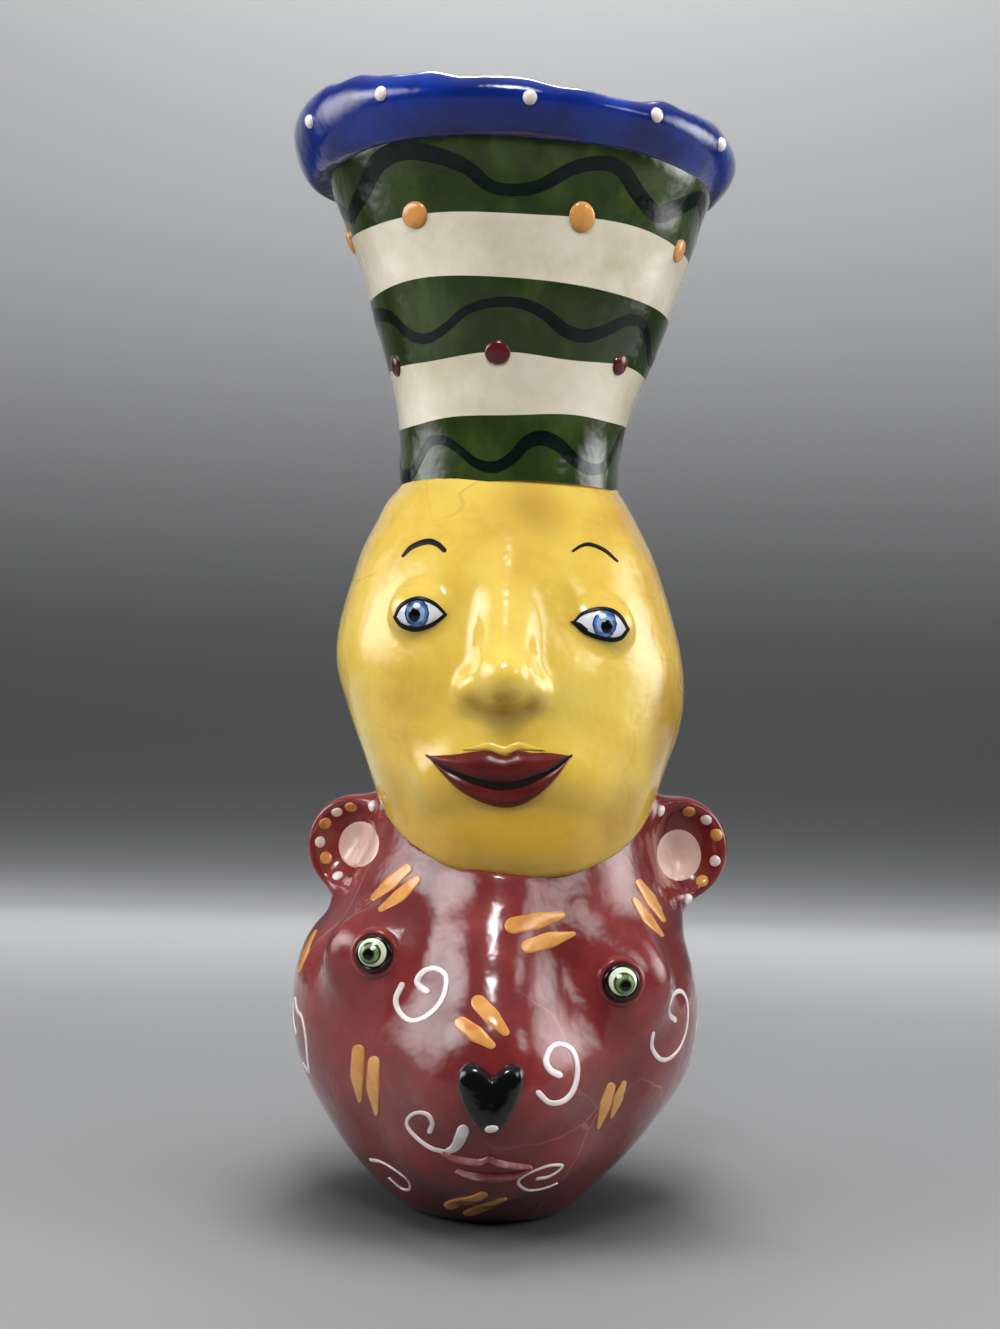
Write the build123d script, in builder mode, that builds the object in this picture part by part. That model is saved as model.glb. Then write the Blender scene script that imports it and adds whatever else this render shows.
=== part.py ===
from build123d import *
import os
from math import cos, radians, sin

# A hand-built, glazed earthenware flower vase, about 400 mm tall, of clay sections luted one on
# another: a slab foot, a bear's head, a human face, a flared striped hat and a rolled brim.
# Lengths are millimetres. Z is up, the faces look along -Y, left and right are as seen from the
# front, and the origin is the middle of the foot's underside.

# Heights of the stacked sections
slab_height = 8.0
bear_height = 144.0
face_height = 114.0
hat_height = 115.0
brim_height = 20.0

# Widths where one section meets the next
foot_width = 62.0
heel_width = 78.0
collar_width = 102.0
collar_depth = 104.0
neck_width = 83.6
hat_top_width = 146.0
brim_overhang = 10.3

# Widest places of the two heads, and how deep they are from front to back
bear_width = 151.0
bear_depth = 146.0
face_width = 130.0
face_depth = 127.0

# Clay thickness of each section
bear_wall = 7.0
face_wall = 6.5
hat_wall = 6.0

# The slanting seam where the yellow chin sits on the bear's forehead
chin_drop = 27.0
chin_overhang = 3.0
chin_bulge = 10.0
nape_rise = 6.0

# How far the hand-built lower face leans to one side
face_lean = 5.5

# Bear's ears: round dished lobes on the sides of its head
ear_radius = 19.3
ear_thickness = 14.0
ear_dish_depth = 8.5
ear_rim = 4.0
ear_reach = 60.5
ear_drop = 21.0
ear_set_back = 5.0
ear_turn = 12.0

# Bear's muzzle, its heart-shaped nose and its mouth
muzzle_width = 84.0
muzzle_height = 76.0
muzzle_reach = 24.0
muzzle_level = 51.0
bear_nose_width = 22.5
bear_nose_height = 24.5
bear_nose_thickness = 3.6
bear_nose_edge = 1.4
bear_nose_level = 50.5
bear_mouth_width = 30.0
bear_mouth_level = 26.0
bear_lip_height = 3.4
bear_lip_depth = 2.2
bear_lip_gap = 5.0

# Bear's bead eyes: a dark ring round a domed cabochon, one set higher than the other
bear_eye_spread = 86.0
bear_eye_level = 86.5
bear_eye_slant = 4.0
bear_eye_ring_radius = 6.4
bear_eye_radius = 5.0
bear_eye_ring_height = 3.0
bear_eye_dome = 2.0
bear_eye_ring_edge = 0.5

# Modelled features of the face: nose, lips and eyes
nose_width = 35.0
nose_length = 46.0
nose_reach = 17.0
nose_level = 43.0
wing_radius = 7.2
mouth_width = 51.0
mouth_level = 17.0
lip_height = 10.0
lip_depth = 4.4
eye_spread = 63.0
eye_level = 63.5
eye_slant = 1.7
eye_mound_width = 28.0
eye_mound_height = 23.0
eye_mound_reach = 5.5
eye_width = 18.0
eye_height = 11.8
eye_inlay = 0.8

# Raised dots of slip on the brim and on the hat
brim_dot_radius = 2.6
brim_dots = 9
hat_dot_radius = 4.6
hat_dot_height = 1.4
orange_dots = 7
maroon_dots = 6

# The hat leans a little, and with it the brim, and its middle swings out to one side
hat_tilt = 3.0
hat_sway = 2.0

# How far a hidden end or a cutting tool runs into or past another piece
overrun = 12.0

heel_z = slab_height
seam_z = heel_z + bear_height
neck_z = seam_z + face_height
hat_top_z = neck_z + hat_height
collar_half = collar_width / 2
collar_reach = collar_depth / 2
bear_half = bear_width / 2
bear_reach = bear_depth / 2
face_half = face_width / 2
face_reach = face_depth / 2
neck_radius = neck_width / 2
hat_top_radius = hat_top_width / 2
brim_radius = hat_top_radius + brim_overhang


def ovals(sections, inset):
    """Lofts one smooth form through level ovals of (height, half width, front, back, shift)."""
    with BuildPart() as form:
        for height, half, front, back, shift in sections:
            with BuildSketch(Plane.XY.offset(height)):
                with Locations((shift, (back - front) / 2)):
                    Ellipse(half - inset, (front + back) / 2 - inset)
        loft()
    return form.part


def front_seat(form, x, z):
    """The plane that lies on a form's front surface at a place given by x and height."""
    hits = form.find_intersection_points(Axis((x, 0, z), (0, -1, 0)))
    point, normal = min(hits, key=lambda hit: hit[0].Y)
    outward = normal if normal.Y < 0 else -normal
    return Plane(origin=point, x_dir=Vector(0, 0, 1).cross(outward), z_dir=outward)


def roll(form, stations):
    """Lofts a tapering roll of clay across a form's front, through (x, z, height, depth) stations."""
    with BuildPart() as rolled:
        for x, z, height, depth in stations:
            seat = front_seat(form, x, z)
            with BuildSketch(Plane(origin=seat.origin, x_dir=(0, 1, 0), z_dir=(1, 0, 0))):
                Ellipse(depth, height / 2)
        loft(ruled=True)
    return rolled.part


# Bear head levels: height, half width, front, back and lean as shares of the head's own sizes
bear_shares = (
    (0.085, 0.69, 0.695, 0.68, -0.42),
    (0.22, 0.885, 0.875, 0.86, -0.22),
    (0.45, 1.005, 1.03, 1.0, -0.18),
    (0.64, 0.933, 0.98, 0.965, 0.0),
    (0.82, 0.808, 0.863, 0.85, 0.5),
)
bear_sections = [(heel_z, heel_width / 2, heel_width / 2, heel_width / 2, 0.0)]
for level, half, front, back, lean in bear_shares:
    bear_sections.append(
        (
            heel_z + bear_height * level,
            bear_half * half,
            bear_reach * front,
            bear_reach * back,
            face_lean * lean,
        )
    )
bear_sections.append((seam_z, collar_half, collar_reach, collar_reach, face_lean))
nape_share = 2.5
nape_girth_share = 1.05
bear_sections.append(
    (
        seam_z + nape_rise * nape_share,
        collar_half * nape_girth_share,
        collar_reach * nape_girth_share,
        collar_reach * nape_girth_share,
        face_lean,
    )
)

# Face levels under the collar, as shares of the chin's drop, then above it, of the face's height
chin_shares = ((-1.4, 0.9), (-0.6, 0.95), (0.0, 1.0))
face_shares = (
    (0.18, 0.915, 1.05, 0.88, 0.9),
    (0.42, 1.0, 1.06, 0.985, 0.45),
    (0.64, 0.94, 0.985, 0.93, 0.1),
    (0.84, 0.8, 0.835, 0.8, 0.0),
)
face_sections = []
for drop, girth in chin_shares:
    face_sections.append(
        (
            seam_z + chin_drop * drop,
            collar_half * girth,
            collar_reach * girth + chin_overhang + chin_bulge,
            collar_reach * girth,
            face_lean,
        )
    )
for level, half, front, back, lean in face_shares:
    face_sections.append(
        (
            seam_z + face_height * level,
            face_half * half,
            face_reach * front,
            face_reach * back,
            face_lean * lean,
        )
    )
face_sections.append((neck_z, neck_radius, neck_radius, neck_radius, 0.0))

# Everything above the slanting seam, which is low under the chin and high at the nape
with BuildPart() as above_seam:
    with BuildSketch(Plane.YZ):
        with BuildLine():
            seam_arc = ThreePointArc(
                (-collar_reach - chin_bulge, seam_z - chin_drop),
                (0, seam_z),
                (collar_reach, seam_z + nape_rise),
            )
            chin_run = Line(seam_arc @ 0, seam_arc @ 0 - seam_arc % 0 * bear_depth)
            nape_run = Line(seam_arc @ 1, seam_arc @ 1 + seam_arc % 1 * bear_depth)
            sky = brim_height + hat_top_z
            Polyline(chin_run @ 1, ((chin_run @ 1).X, sky), ((nape_run @ 1).X, sky), nape_run @ 1)
        make_face()
    extrude(amount=bear_width, both=True)

# Solid outer forms of the two heads, which the walls and every added feature are cut with
with BuildPart() as bear_form:
    add(ovals(bear_sections, 0.0))
    add(above_seam.part, mode=Mode.SUBTRACT)
with BuildPart() as face_form:
    add(ovals(face_sections, 0.0))
    add(above_seam.part, mode=Mode.INTERSECT)

# Slab foot that the whole vase stands on
with BuildPart() as base_slab:
    with BuildSketch():
        Circle(foot_width / 2)
    with BuildSketch(Plane.XY.offset(heel_z)):
        Circle(heel_width / 2)
    loft()

# Hollow wall of the bear's head
with BuildPart() as bear_head:
    add(bear_form.part)
    add(ovals(bear_sections, bear_wall), mode=Mode.SUBTRACT)

# Hollow wall of the face, from the chin to the neck
with BuildPart() as face_vessel:
    add(face_form.part)
    add(ovals(face_sections, face_wall), mode=Mode.SUBTRACT)

# Flared hat: circles that lean more towards the top, as shares of its height, flare, tilt and sway
hat_shares = (
    (0.0, 0.0, 0.0, 0.0),
    (0.17, 0.03, 0.08, 0.1),
    (0.435, 0.3, 0.28, 0.85),
    (0.7, 0.603, 0.53, 0.9),
    (0.85, 0.79, 0.75, 0.5),
    (1.0, 1.0, 1.0, 0.0),
)
hat_flare = hat_top_radius - neck_radius


def leaning_plane(height, lean, sway):
    """A nearly level plane, off the axis by a sway and turned by a lean about the front-to-back line."""
    up = Vector(sin(radians(lean)), 0, cos(radians(lean)))
    return Plane(origin=(sway, 0, height), x_dir=Vector(0, 1, 0).cross(up), z_dir=up)


def hat_round(inset):
    """Lofts the hat's round form through its leaning circles."""
    with BuildPart() as form:
        for rise, flare, lean, sway in hat_shares:
            height = neck_z + hat_height * rise
            with BuildSketch(leaning_plane(height, hat_tilt * lean, hat_sway * sway)):
                Circle(neck_radius + hat_flare * flare - inset)
        loft()
    return form


hat_form = hat_round(0.0)
hat_cavity = hat_round(hat_wall)
with BuildPart() as hat:
    add(hat_form.part)
    add(hat_cavity.part, mode=Mode.SUBTRACT)

# Rolled brim: a fat coil that overhangs the hat all round, set on its leaning top
brim_widest_share = 0.6
brim_crown_share = 0.52
brim_mouth_share = 0.58
brim_plane = leaning_plane(hat_top_z, hat_tilt, 0.0)
brim_seat = hat_top_radius - hat_wall
brim_crown = brim_seat + (brim_radius - brim_seat) * brim_crown_share
with BuildPart() as brim:
    with BuildSketch(Plane(origin=brim_plane.origin, x_dir=brim_plane.x_dir, z_dir=(0, -1, 0))):
        with BuildLine():
            brim_floor = Line((brim_seat, 0), (hat_top_radius, 0))
            Spline(
                brim_floor @ 1,
                (brim_radius, brim_height * brim_widest_share),
                (brim_crown, brim_height),
                (brim_seat, brim_height * brim_mouth_share),
                brim_floor @ 0,
            )
        make_face()
    revolve(axis=Axis(brim_plane.origin, brim_plane.z_dir))

# Bear's ears: a round lobe with a dished front, cut to sit on the side of the head
ear_soft_share = 0.25
ear_dish_slope_share = 0.4


def bear_ear(side):
    """One ear; the side is -1 for the left and 1 for the right."""
    facing = Vector(side * sin(radians(ear_turn)), -cos(radians(ear_turn)), 0)
    centre = Vector(face_lean + side * ear_reach, ear_set_back, seam_z - ear_drop)
    across = Vector(0, 0, 1).cross(facing)
    half = ear_thickness / 2
    soft = ear_rim * ear_soft_share
    with BuildPart() as ear:
        with BuildSketch(Plane(origin=centre, x_dir=across, z_dir=across.cross(facing))):
            with BuildLine():
                back = ThreePointArc((0, -half), (ear_radius - ear_rim, soft - half), (ear_radius, 0))
                lip = ThreePointArc(
                    back @ 1, (ear_radius - soft, half - soft), (ear_radius - ear_rim, half)
                )
                dish = Spline(
                    lip @ 1,
                    (0, half - ear_dish_depth),
                    tangents=((-1, -ear_dish_slope_share), (-1, 0)),
                )
                Line(dish @ 1, back @ 0)
            make_face()
        revolve(axis=Axis(centre, facing))
        add(bear_form.part, mode=Mode.SUBTRACT)
        add(face_form.part, mode=Mode.SUBTRACT)
    return ear


# Muzzle: ovals along -Y that shrink to a blunt tip, as shares of reach, width, height and rise
muzzle_shares = (
    (-1.0, 1.0, 1.0, 0.02),
    (-0.35, 0.88, 0.88, 0.01),
    (0.25, 0.67, 0.67, 0.0),
    (0.72, 0.42, 0.42, 0.0),
    (0.98, 0.16, 0.16, 0.0),
)
muzzle_z = heel_z + muzzle_level
bear_front_share = 1.03
bear_front = bear_reach * bear_front_share
with BuildPart() as bear_muzzle:
    for reach, width, height, rise in muzzle_shares:
        with BuildSketch(Plane.XZ.offset(bear_front + muzzle_reach * reach)):
            with Locations((0, muzzle_z + muzzle_height * rise)):
                Ellipse(muzzle_width * width / 2, muzzle_height * height / 2)
    loft()
    add(bear_form.part, mode=Mode.SUBTRACT)

# Heart-shaped nose at the muzzle's tip, with a softened front edge: shares of width and height
heart_shares = ((0.0, 0.3), (0.27, 0.5), (0.5, 0.2), (0.36, -0.2), (0.08, -0.5), (0.0, -0.5))
heart = [(bear_nose_width * x, bear_nose_height * z) for x, z in heart_shares]
nose_seat = front_seat(bear_muzzle.part, 0, heel_z + bear_nose_level)
with BuildPart() as bear_nose:
    with BuildSketch(nose_seat.offset(-overrun)):
        with BuildLine():
            ThreePointArc(*heart[:3])
            ThreePointArc(*heart[2:5])
            Line(*heart[4:])
            mirror(about=Plane.YZ)
        make_face()
    extrude(amount=overrun + bear_nose_thickness)
    heart_front = bear_nose.faces().sort_by(Axis(nose_seat.origin, nose_seat.z_dir))[-1]
    fillet(heart_front.edges(), bear_nose_edge)
    add(bear_muzzle.part, mode=Mode.SUBTRACT)
    add(bear_form.part, mode=Mode.SUBTRACT)

# Bear's lips: shares of half the mouth's width, of its gap and of the lip's height
bear_lip_shares = {
    "bear_upper_lip": (
        (-1.0, 0.45, 0.45),
        (-0.4, 0.25, 1.0),
        (0.0, 0.7, 1.0),
        (0.4, 0.25, 1.0),
        (1.0, 0.15, 0.45),
    ),
    "bear_lower_lip": (
        (-0.7, -0.35, 0.4),
        (-0.35, -0.7, 1.0),
        (0.35, -0.7, 1.0),
        (0.75, -0.4, 0.4),
    ),
}
bear_lips = {}
for lip_name, lip_shares in bear_lip_shares.items():
    mouth_z = heel_z + bear_mouth_level
    stations = [
        (
            bear_mouth_width / 2 * x,
            mouth_z + bear_lip_gap * rise,
            bear_lip_height * girth,
            bear_lip_depth * girth,
        )
        for x, rise, girth in lip_shares
    ]
    with BuildPart() as bear_lips[lip_name]:
        add(roll(bear_muzzle.part, stations))
        add(bear_muzzle.part, mode=Mode.SUBTRACT)
with BuildPart() as bear_lower_lip:
    add(bear_lips["bear_lower_lip"].part)
    add(bear_lips["bear_upper_lip"].part, mode=Mode.SUBTRACT)


def bead_eye(side):
    """A dark ring and the domed cabochon that it holds, seated on the bear's cheek."""
    centre_x = side * bear_eye_spread / 2
    seat = front_seat(bear_form.part, centre_x, heel_z + bear_eye_level - side * bear_eye_slant)
    ball = (bear_eye_radius**2 + bear_eye_dome**2) / (2 * bear_eye_dome)
    crown = bear_eye_ring_height + bear_eye_dome
    with BuildPart() as cabochon:
        with Locations(seat.location):
            Cylinder(bear_eye_radius, crown + overrun)
        with Locations(seat.offset(crown - ball).location):
            Sphere(ball, mode=Mode.INTERSECT)
        add(bear_form.part, mode=Mode.SUBTRACT)
    with BuildPart() as ring:
        with BuildSketch(seat.offset(-overrun)):
            Circle(bear_eye_ring_radius)
            Circle(bear_eye_radius, mode=Mode.SUBTRACT)
        extrude(amount=overrun + bear_eye_ring_height)
        ring_top = ring.faces().sort_by(Axis(seat.origin, seat.z_dir))[-1]
        fillet(ring_top.edges(), bear_eye_ring_edge)
        add(bear_form.part, mode=Mode.SUBTRACT)
    return ring, cabochon


# Nose of the face: level ovals down its ridge, as shares of its length, half width and reach
nose_ridge_shares = (
    (1.0, 0.28, 0.12),
    (0.7, 0.36, 0.3),
    (0.4, 0.42, 0.6),
    (0.12, 0.5, 0.92),
    (-0.05, 0.56, 1.0),
    (-0.22, 0.56, 0.84),
    (-0.36, 0.36, 0.35),
)
wing_drop_share = 0.13
wing_sink_share = 0.12
nose_z = seam_z + nose_level
with BuildPart() as face_nose:
    for rise, half, reach in nose_ridge_shares:
        seat = front_seat(face_form.part, 0, nose_z + nose_length * rise)
        with BuildSketch(Plane.XY.offset(nose_z + nose_length * rise)):
            with Locations((0, seat.origin.Y)):
                Ellipse(nose_width / 2 * half, nose_reach * reach)
    loft()
    for side in (-1, 1):
        wing_x = side * (nose_width / 2 - wing_radius)
        wing = front_seat(face_form.part, wing_x, nose_z - nose_length * wing_drop_share)
        with Locations(wing.offset(nose_reach * wing_sink_share).origin):
            Sphere(wing_radius)
    add(face_form.part, mode=Mode.SUBTRACT)

# Lips of the face: shares of half the mouth's width, and of the lip height for middle and girth
lip_shares = {
    "face_upper_lip": (
        (-1.0, -0.02, 0.08),
        (-0.8, -0.14, 0.36),
        (-0.5, -0.3, 0.76),
        (-0.2, -0.4, 1.04),
        (0.0, -0.5, 0.96),
        (0.2, -0.4, 1.04),
        (0.5, -0.3, 0.76),
        (0.8, -0.14, 0.36),
        (1.0, -0.02, 0.08),
    ),
    "face_lower_lip": (
        (-0.94, -0.16, 0.08),
        (-0.7, -0.64, 0.42),
        (-0.35, -1.16, 0.72),
        (0.0, -1.38, 0.82),
        (0.35, -1.16, 0.72),
        (0.7, -0.64, 0.42),
        (0.94, -0.16, 0.08),
    ),
}
face_lips = {}
for lip_name, shares in lip_shares.items():
    stations = [
        (
            mouth_width / 2 * x,
            seam_z + mouth_level + lip_height * rise,
            lip_height * girth,
            lip_depth * girth,
        )
        for x, rise, girth in shares
    ]
    with BuildPart() as face_lips[lip_name]:
        add(roll(face_form.part, stations))
        add(face_form.part, mode=Mode.SUBTRACT)
with BuildPart() as face_lower_lip:
    add(face_lips["face_lower_lip"].part)
    add(face_lips["face_upper_lip"].part, mode=Mode.SUBTRACT)


half_turn = 180


def eye_mound(seat, skin):
    """The egg-shaped bulge of the lids round one eye, thickened by a skin."""
    half = eye_mound_width / 2 + skin
    round_half = eye_mound_height / 2
    centre = seat.offset(eye_mound_reach - round_half)
    with BuildPart() as mound:
        with BuildSketch(centre):
            with BuildLine():
                EllipticalCenterArc((0, 0), half, round_half + skin, arc_size=half_turn)
                Line((-half, 0), (half, 0))
            make_face()
        revolve(axis=Axis(centre.origin, centre.x_dir))
    return mound.part


# Almond outline of an eye, as shares of its width and height
almond_shares = ((-0.5, -0.1), (-0.12, 0.5), (0.5, 0.1), (0.08, -0.5))


def face_eye(side):
    """The lids' mound and the painted inlay of one eye."""
    seat_z = seam_z + eye_level - side * eye_slant
    seat = front_seat(face_form.part, side * eye_spread / 2, seat_z)
    with BuildPart() as eyelids:
        add(eye_mound(seat, 0.0))
        add(face_form.part, mode=Mode.SUBTRACT)
    corners = [(eye_width * x, eye_height * z) for x, z in almond_shares]
    with BuildPart() as inlay:
        with BuildSketch(seat):
            with BuildLine():
                ThreePointArc(corners[0], corners[1], corners[2])
                ThreePointArc(corners[2], corners[3], corners[0])
            make_face()
        extrude(amount=overrun)
        add(eye_mound(seat, eye_inlay), mode=Mode.INTERSECT)
        add(eye_mound(seat, 0.0), mode=Mode.SUBTRACT)
    return eyelids, inlay


def dot_ring(carrier, count, start, height, radius, reach):
    """Domed dots of slip set round a carrier's outside, cut to sit on its surface."""
    with BuildPart() as dots:
        for index in range(count):
            bearing = radians(start + 360 / count * index)
            outward = Vector(sin(bearing), -cos(bearing), 0)
            hits = carrier.find_intersection_points(Axis(Vector(0, 0, height), outward))
            point, normal = max(hits, key=lambda hit: hit[0].dot(outward))
            if normal.dot(outward) < 0:
                normal = -normal
            ball = (radius**2 + reach**2) / (2 * reach)
            with Locations(point + normal * (reach - ball)):
                Sphere(ball)
        add(carrier, mode=Mode.SUBTRACT)
    return dots


brim_dot_level_share = 0.72
orange_level_share = 0.78
maroon_level_share = 0.39
brim_dot_start = 3.7
orange_start = 22.0
maroon_start = -8.6

left_ring, left_bead = bead_eye(-1)
right_ring, right_bead = bead_eye(1)
left_lids, left_eye = face_eye(-1)
right_lids, right_eye = face_eye(1)
pieces = {
    "base_slab": base_slab,
    "bear_head": bear_head,
    "bear_ear_left": bear_ear(-1),
    "bear_ear_right": bear_ear(1),
    "bear_muzzle": bear_muzzle,
    "bear_nose": bear_nose,
    "bear_upper_lip": bear_lips["bear_upper_lip"],
    "bear_lower_lip": bear_lower_lip,
    "bear_eye_ring_left": left_ring,
    "bear_eye_ring_right": right_ring,
    "bear_eye_bead_left": left_bead,
    "bear_eye_bead_right": right_bead,
    "face_vessel": face_vessel,
    "face_nose": face_nose,
    "face_eyelids_left": left_lids,
    "face_eyelids_right": right_lids,
    "face_eye_left": left_eye,
    "face_eye_right": right_eye,
    "face_upper_lip": face_lips["face_upper_lip"],
    "face_lower_lip": face_lower_lip,
    "hat": hat,
    "hat_orange_dots": dot_ring(
        hat_form.part,
        orange_dots,
        orange_start,
        neck_z + hat_height * orange_level_share,
        hat_dot_radius,
        hat_dot_height,
    ),
    "hat_maroon_dots": dot_ring(
        hat_form.part,
        maroon_dots,
        maroon_start,
        neck_z + hat_height * maroon_level_share,
        hat_dot_radius,
        hat_dot_height,
    ),
    "brim": brim,
    "brim_dots": dot_ring(
        brim.part,
        brim_dots,
        brim_dot_start,
        hat_top_z + brim_height * brim_dot_level_share,
        brim_dot_radius,
        brim_dot_radius,
    ),
}
os.makedirs("parts", exist_ok=True)
for name, piece in pieces.items():
    piece.part.label = name
    export_step(piece.part, f"parts/{name}.step")
    print(name, len(piece.part.solids()), round(piece.part.volume, 1))
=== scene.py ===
from math import asin, atan2, copysign, cos, degrees, pi, radians, sin, sqrt, tan

import bpy
import numpy as np
import openvdb
from mathutils import Matrix, Vector
from mathutils.bvhtree import BVHTree


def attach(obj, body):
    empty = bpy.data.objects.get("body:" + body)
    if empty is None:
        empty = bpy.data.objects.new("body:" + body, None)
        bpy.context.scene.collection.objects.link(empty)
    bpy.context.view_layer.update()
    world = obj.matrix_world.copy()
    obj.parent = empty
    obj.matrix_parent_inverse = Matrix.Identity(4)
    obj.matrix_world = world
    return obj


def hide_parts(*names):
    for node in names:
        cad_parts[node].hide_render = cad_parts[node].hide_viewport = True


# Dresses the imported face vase: glazed clay forms, painted bands, strokes and curls, eyes and dots.
# Shapes are worked out in millimetres in the CAD frame and stored in metres.

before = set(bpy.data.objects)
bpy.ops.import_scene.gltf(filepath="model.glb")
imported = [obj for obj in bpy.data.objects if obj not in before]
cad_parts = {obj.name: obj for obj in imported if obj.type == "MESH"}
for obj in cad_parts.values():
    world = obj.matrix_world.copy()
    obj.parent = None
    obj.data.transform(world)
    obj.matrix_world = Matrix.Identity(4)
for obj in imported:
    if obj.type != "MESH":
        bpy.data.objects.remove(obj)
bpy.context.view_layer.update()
MM = 0.001

# ---- camera
IMAGE_W, IMAGE_H = 1000, 1329
FOCAL_PX = 1939.0
CAMERA_AT = np.array([-1.9, -735.0, 194.0])
PITCH, ROLL = radians(0.52), radians(1.5)

camera_data = bpy.data.cameras.new("photo_camera")
camera_data.lens = 36.0 * FOCAL_PX / IMAGE_H
camera_data.sensor_width = 36.0
camera_data.clip_start = 0.01
camera = bpy.data.objects.new("photo_camera", camera_data)
camera.matrix_world = (
    Matrix.Translation(Vector(CAMERA_AT * MM))
    @ Matrix.Rotation(pi / 2 + PITCH, 4, "X")
    @ Matrix.Rotation(ROLL, 4, "Z")
)
bpy.context.scene.collection.objects.link(camera)
bpy.context.scene.camera = camera
CAMERA_TURN = np.array(camera.matrix_world.to_3x3())


def pixel_way(x, y):
    """Direction from the camera through a photo pixel."""
    return CAMERA_TURN @ np.array([(x - IMAGE_W / 2) / FOCAL_PX, -(y - IMAGE_H / 2) / FOCAL_PX, -1.0])


# ---- small maths
PER_SPAN = 24  # points worked out between two given points of a curve
LUMP_WAVES = 7


def unit(v):
    return v / np.linalg.norm(v)


def smooth_curve(points, count):
    """A smooth curve through points, as count points spaced evenly along it."""
    p = np.asarray(points, float)
    if len(p) < 3:
        t = np.linspace(0, 1, count)[:, None]
        return p[0] * (1 - t) + p[-1] * t
    ends = np.vstack([2 * p[0] - p[1], p, 2 * p[-1] - p[-2]])
    t = np.linspace(0, 1, PER_SPAN, endpoint=False)[:, None]
    dense = []
    for i in range(1, len(ends) - 2):
        a, b, c, d = ends[i - 1 : i + 3]
        dense.append(0.5 * (2 * b + (c - a) * t + (2 * a - 5 * b + 4 * c - d) * t**2
                            + (3 * b - a - 3 * c + d) * t**3))
    dense = np.vstack(dense + [p[-1:]])
    run = np.concatenate([[0], np.cumsum(np.linalg.norm(np.diff(dense[:, :2], axis=0), axis=1))])
    at = np.linspace(0, run[-1], count)
    return np.column_stack([np.interp(at, run, dense[:, k]) for k in range(dense.shape[1])])


def hermite(table, z):
    """Reads a table of rows (z, ...) smoothly at any z: the forms are lofted through these rows."""
    table = np.asarray(table, float)
    x = table[:, 0]
    slope = np.gradient(table[:, 1:], x, axis=0)
    z = np.clip(z, x[0], x[-1])
    i = np.clip(np.searchsorted(x, z, side="right") - 1, 0, len(x) - 2)
    h = x[i + 1] - x[i]
    t = ((z - x[i]) / h)[..., None]
    h = h[..., None]
    y0, y1, m0, m1 = table[i, 1:], table[i + 1, 1:], slope[i], slope[i + 1]
    return ((2 * t**3 - 3 * t**2 + 1) * y0 + (t**3 - 2 * t**2 + t) * h * m0
            + (3 * t**2 - 2 * t**3) * y1 + (t**3 - t**2) * h * m1)


def blend(a, b, k):
    """Union of two distance fields with a soft fillet of about k."""
    h = np.clip(0.5 + 0.5 * (b - a) / k, 0, 1)
    return b * (1 - h) + a * h - k * h * (1 - h)


def carve(a, b, k):
    """Takes form b out of form a, with a soft edge of about k."""
    return -blend(-a, b, k)


def ball(p, centre, size):
    """Distance field of an egg with three half sizes."""
    q = (p - np.asarray(centre)) / np.asarray(size)
    r = np.linalg.norm(q, axis=-1)
    return (r - 1) * min(size)


def rod(p, a, b, ra, rb, squash=(1, 1, 1)):
    """Distance field of a straight tapering rod with round ends."""
    s = np.asarray(squash, float)
    a, b, p = np.asarray(a, float) / s, np.asarray(b, float) / s, p / s
    ab = b - a
    t = np.clip(((p - a) @ ab) / (ab @ ab), 0, 1)
    return np.linalg.norm(p - a - t[..., None] * ab, axis=-1) - (ra + (rb - ra) * t)


def disc_lobe(u, v, w, radius, half, edge):
    """Distance field of a flat round lobe with rounded edges; v runs through its thickness."""
    rim = np.hypot(u, w) - (radius - edge)
    flat = np.abs(v) - (half - edge)
    return np.hypot(np.maximum(rim, 0), np.maximum(flat, 0)) + np.minimum(np.maximum(rim, flat), 0) - edge


def oval_stack(p, table, inset=0.0):
    """Distance field of a stack of level ovals: rows are z, half width, front, back, shift."""
    lv = hermite(table, p[..., 2])
    half, front, back, shift = (lv[..., k] for k in range(4))
    deep = (front + back) / 2 - inset
    half = half - inset
    dx = (p[..., 0] - shift) / half
    dy = (p[..., 1] - (back - front) / 2) / deep
    r = np.sqrt(dx**2 + dy**2) + 1e-9
    step = hermite(table, p[..., 2] + 1.0)[..., 0] - lv[..., 0]
    return (r - 1) * np.minimum(half, deep) / np.sqrt(1 + step**2)


def lumps(p, size, seed):
    """Gentle hand-made unevenness, from a few fixed waves."""
    rng = np.random.default_rng(seed)
    total = np.zeros(p.shape[:-1])
    for _ in range(LUMP_WAVES):
        d = unit(rng.normal(size=3))
        total += np.sin((p @ d) / size * rng.uniform(0.7, 1.6) + rng.uniform(0, 6.3))
    return total / LUMP_WAVES


# ---- mesh helpers
POLISH, PROBE = 4, 0.3  # times that a surface is settled on its field, and the step in mm that finds the slope
# How far off a surface its drawings are cast from, in mm: from the camera, and from beside the vase
FROM_CAMERA, FROM_FACING, FROM_SIDE, FROM_AXIS, TO_WALL = 700.0, 4.0, 40.0, 150.0, 80.0
ACROSS = np.array([-1, -0.96, -0.7, -0.35, 0, 0.35, 0.7, 0.96, 1])  # places across a stroke, denser at its edges
ROUND_END = (0.4, 0.7, 0.9, 0.98, 1.0)  # places along a stroke's round end


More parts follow.
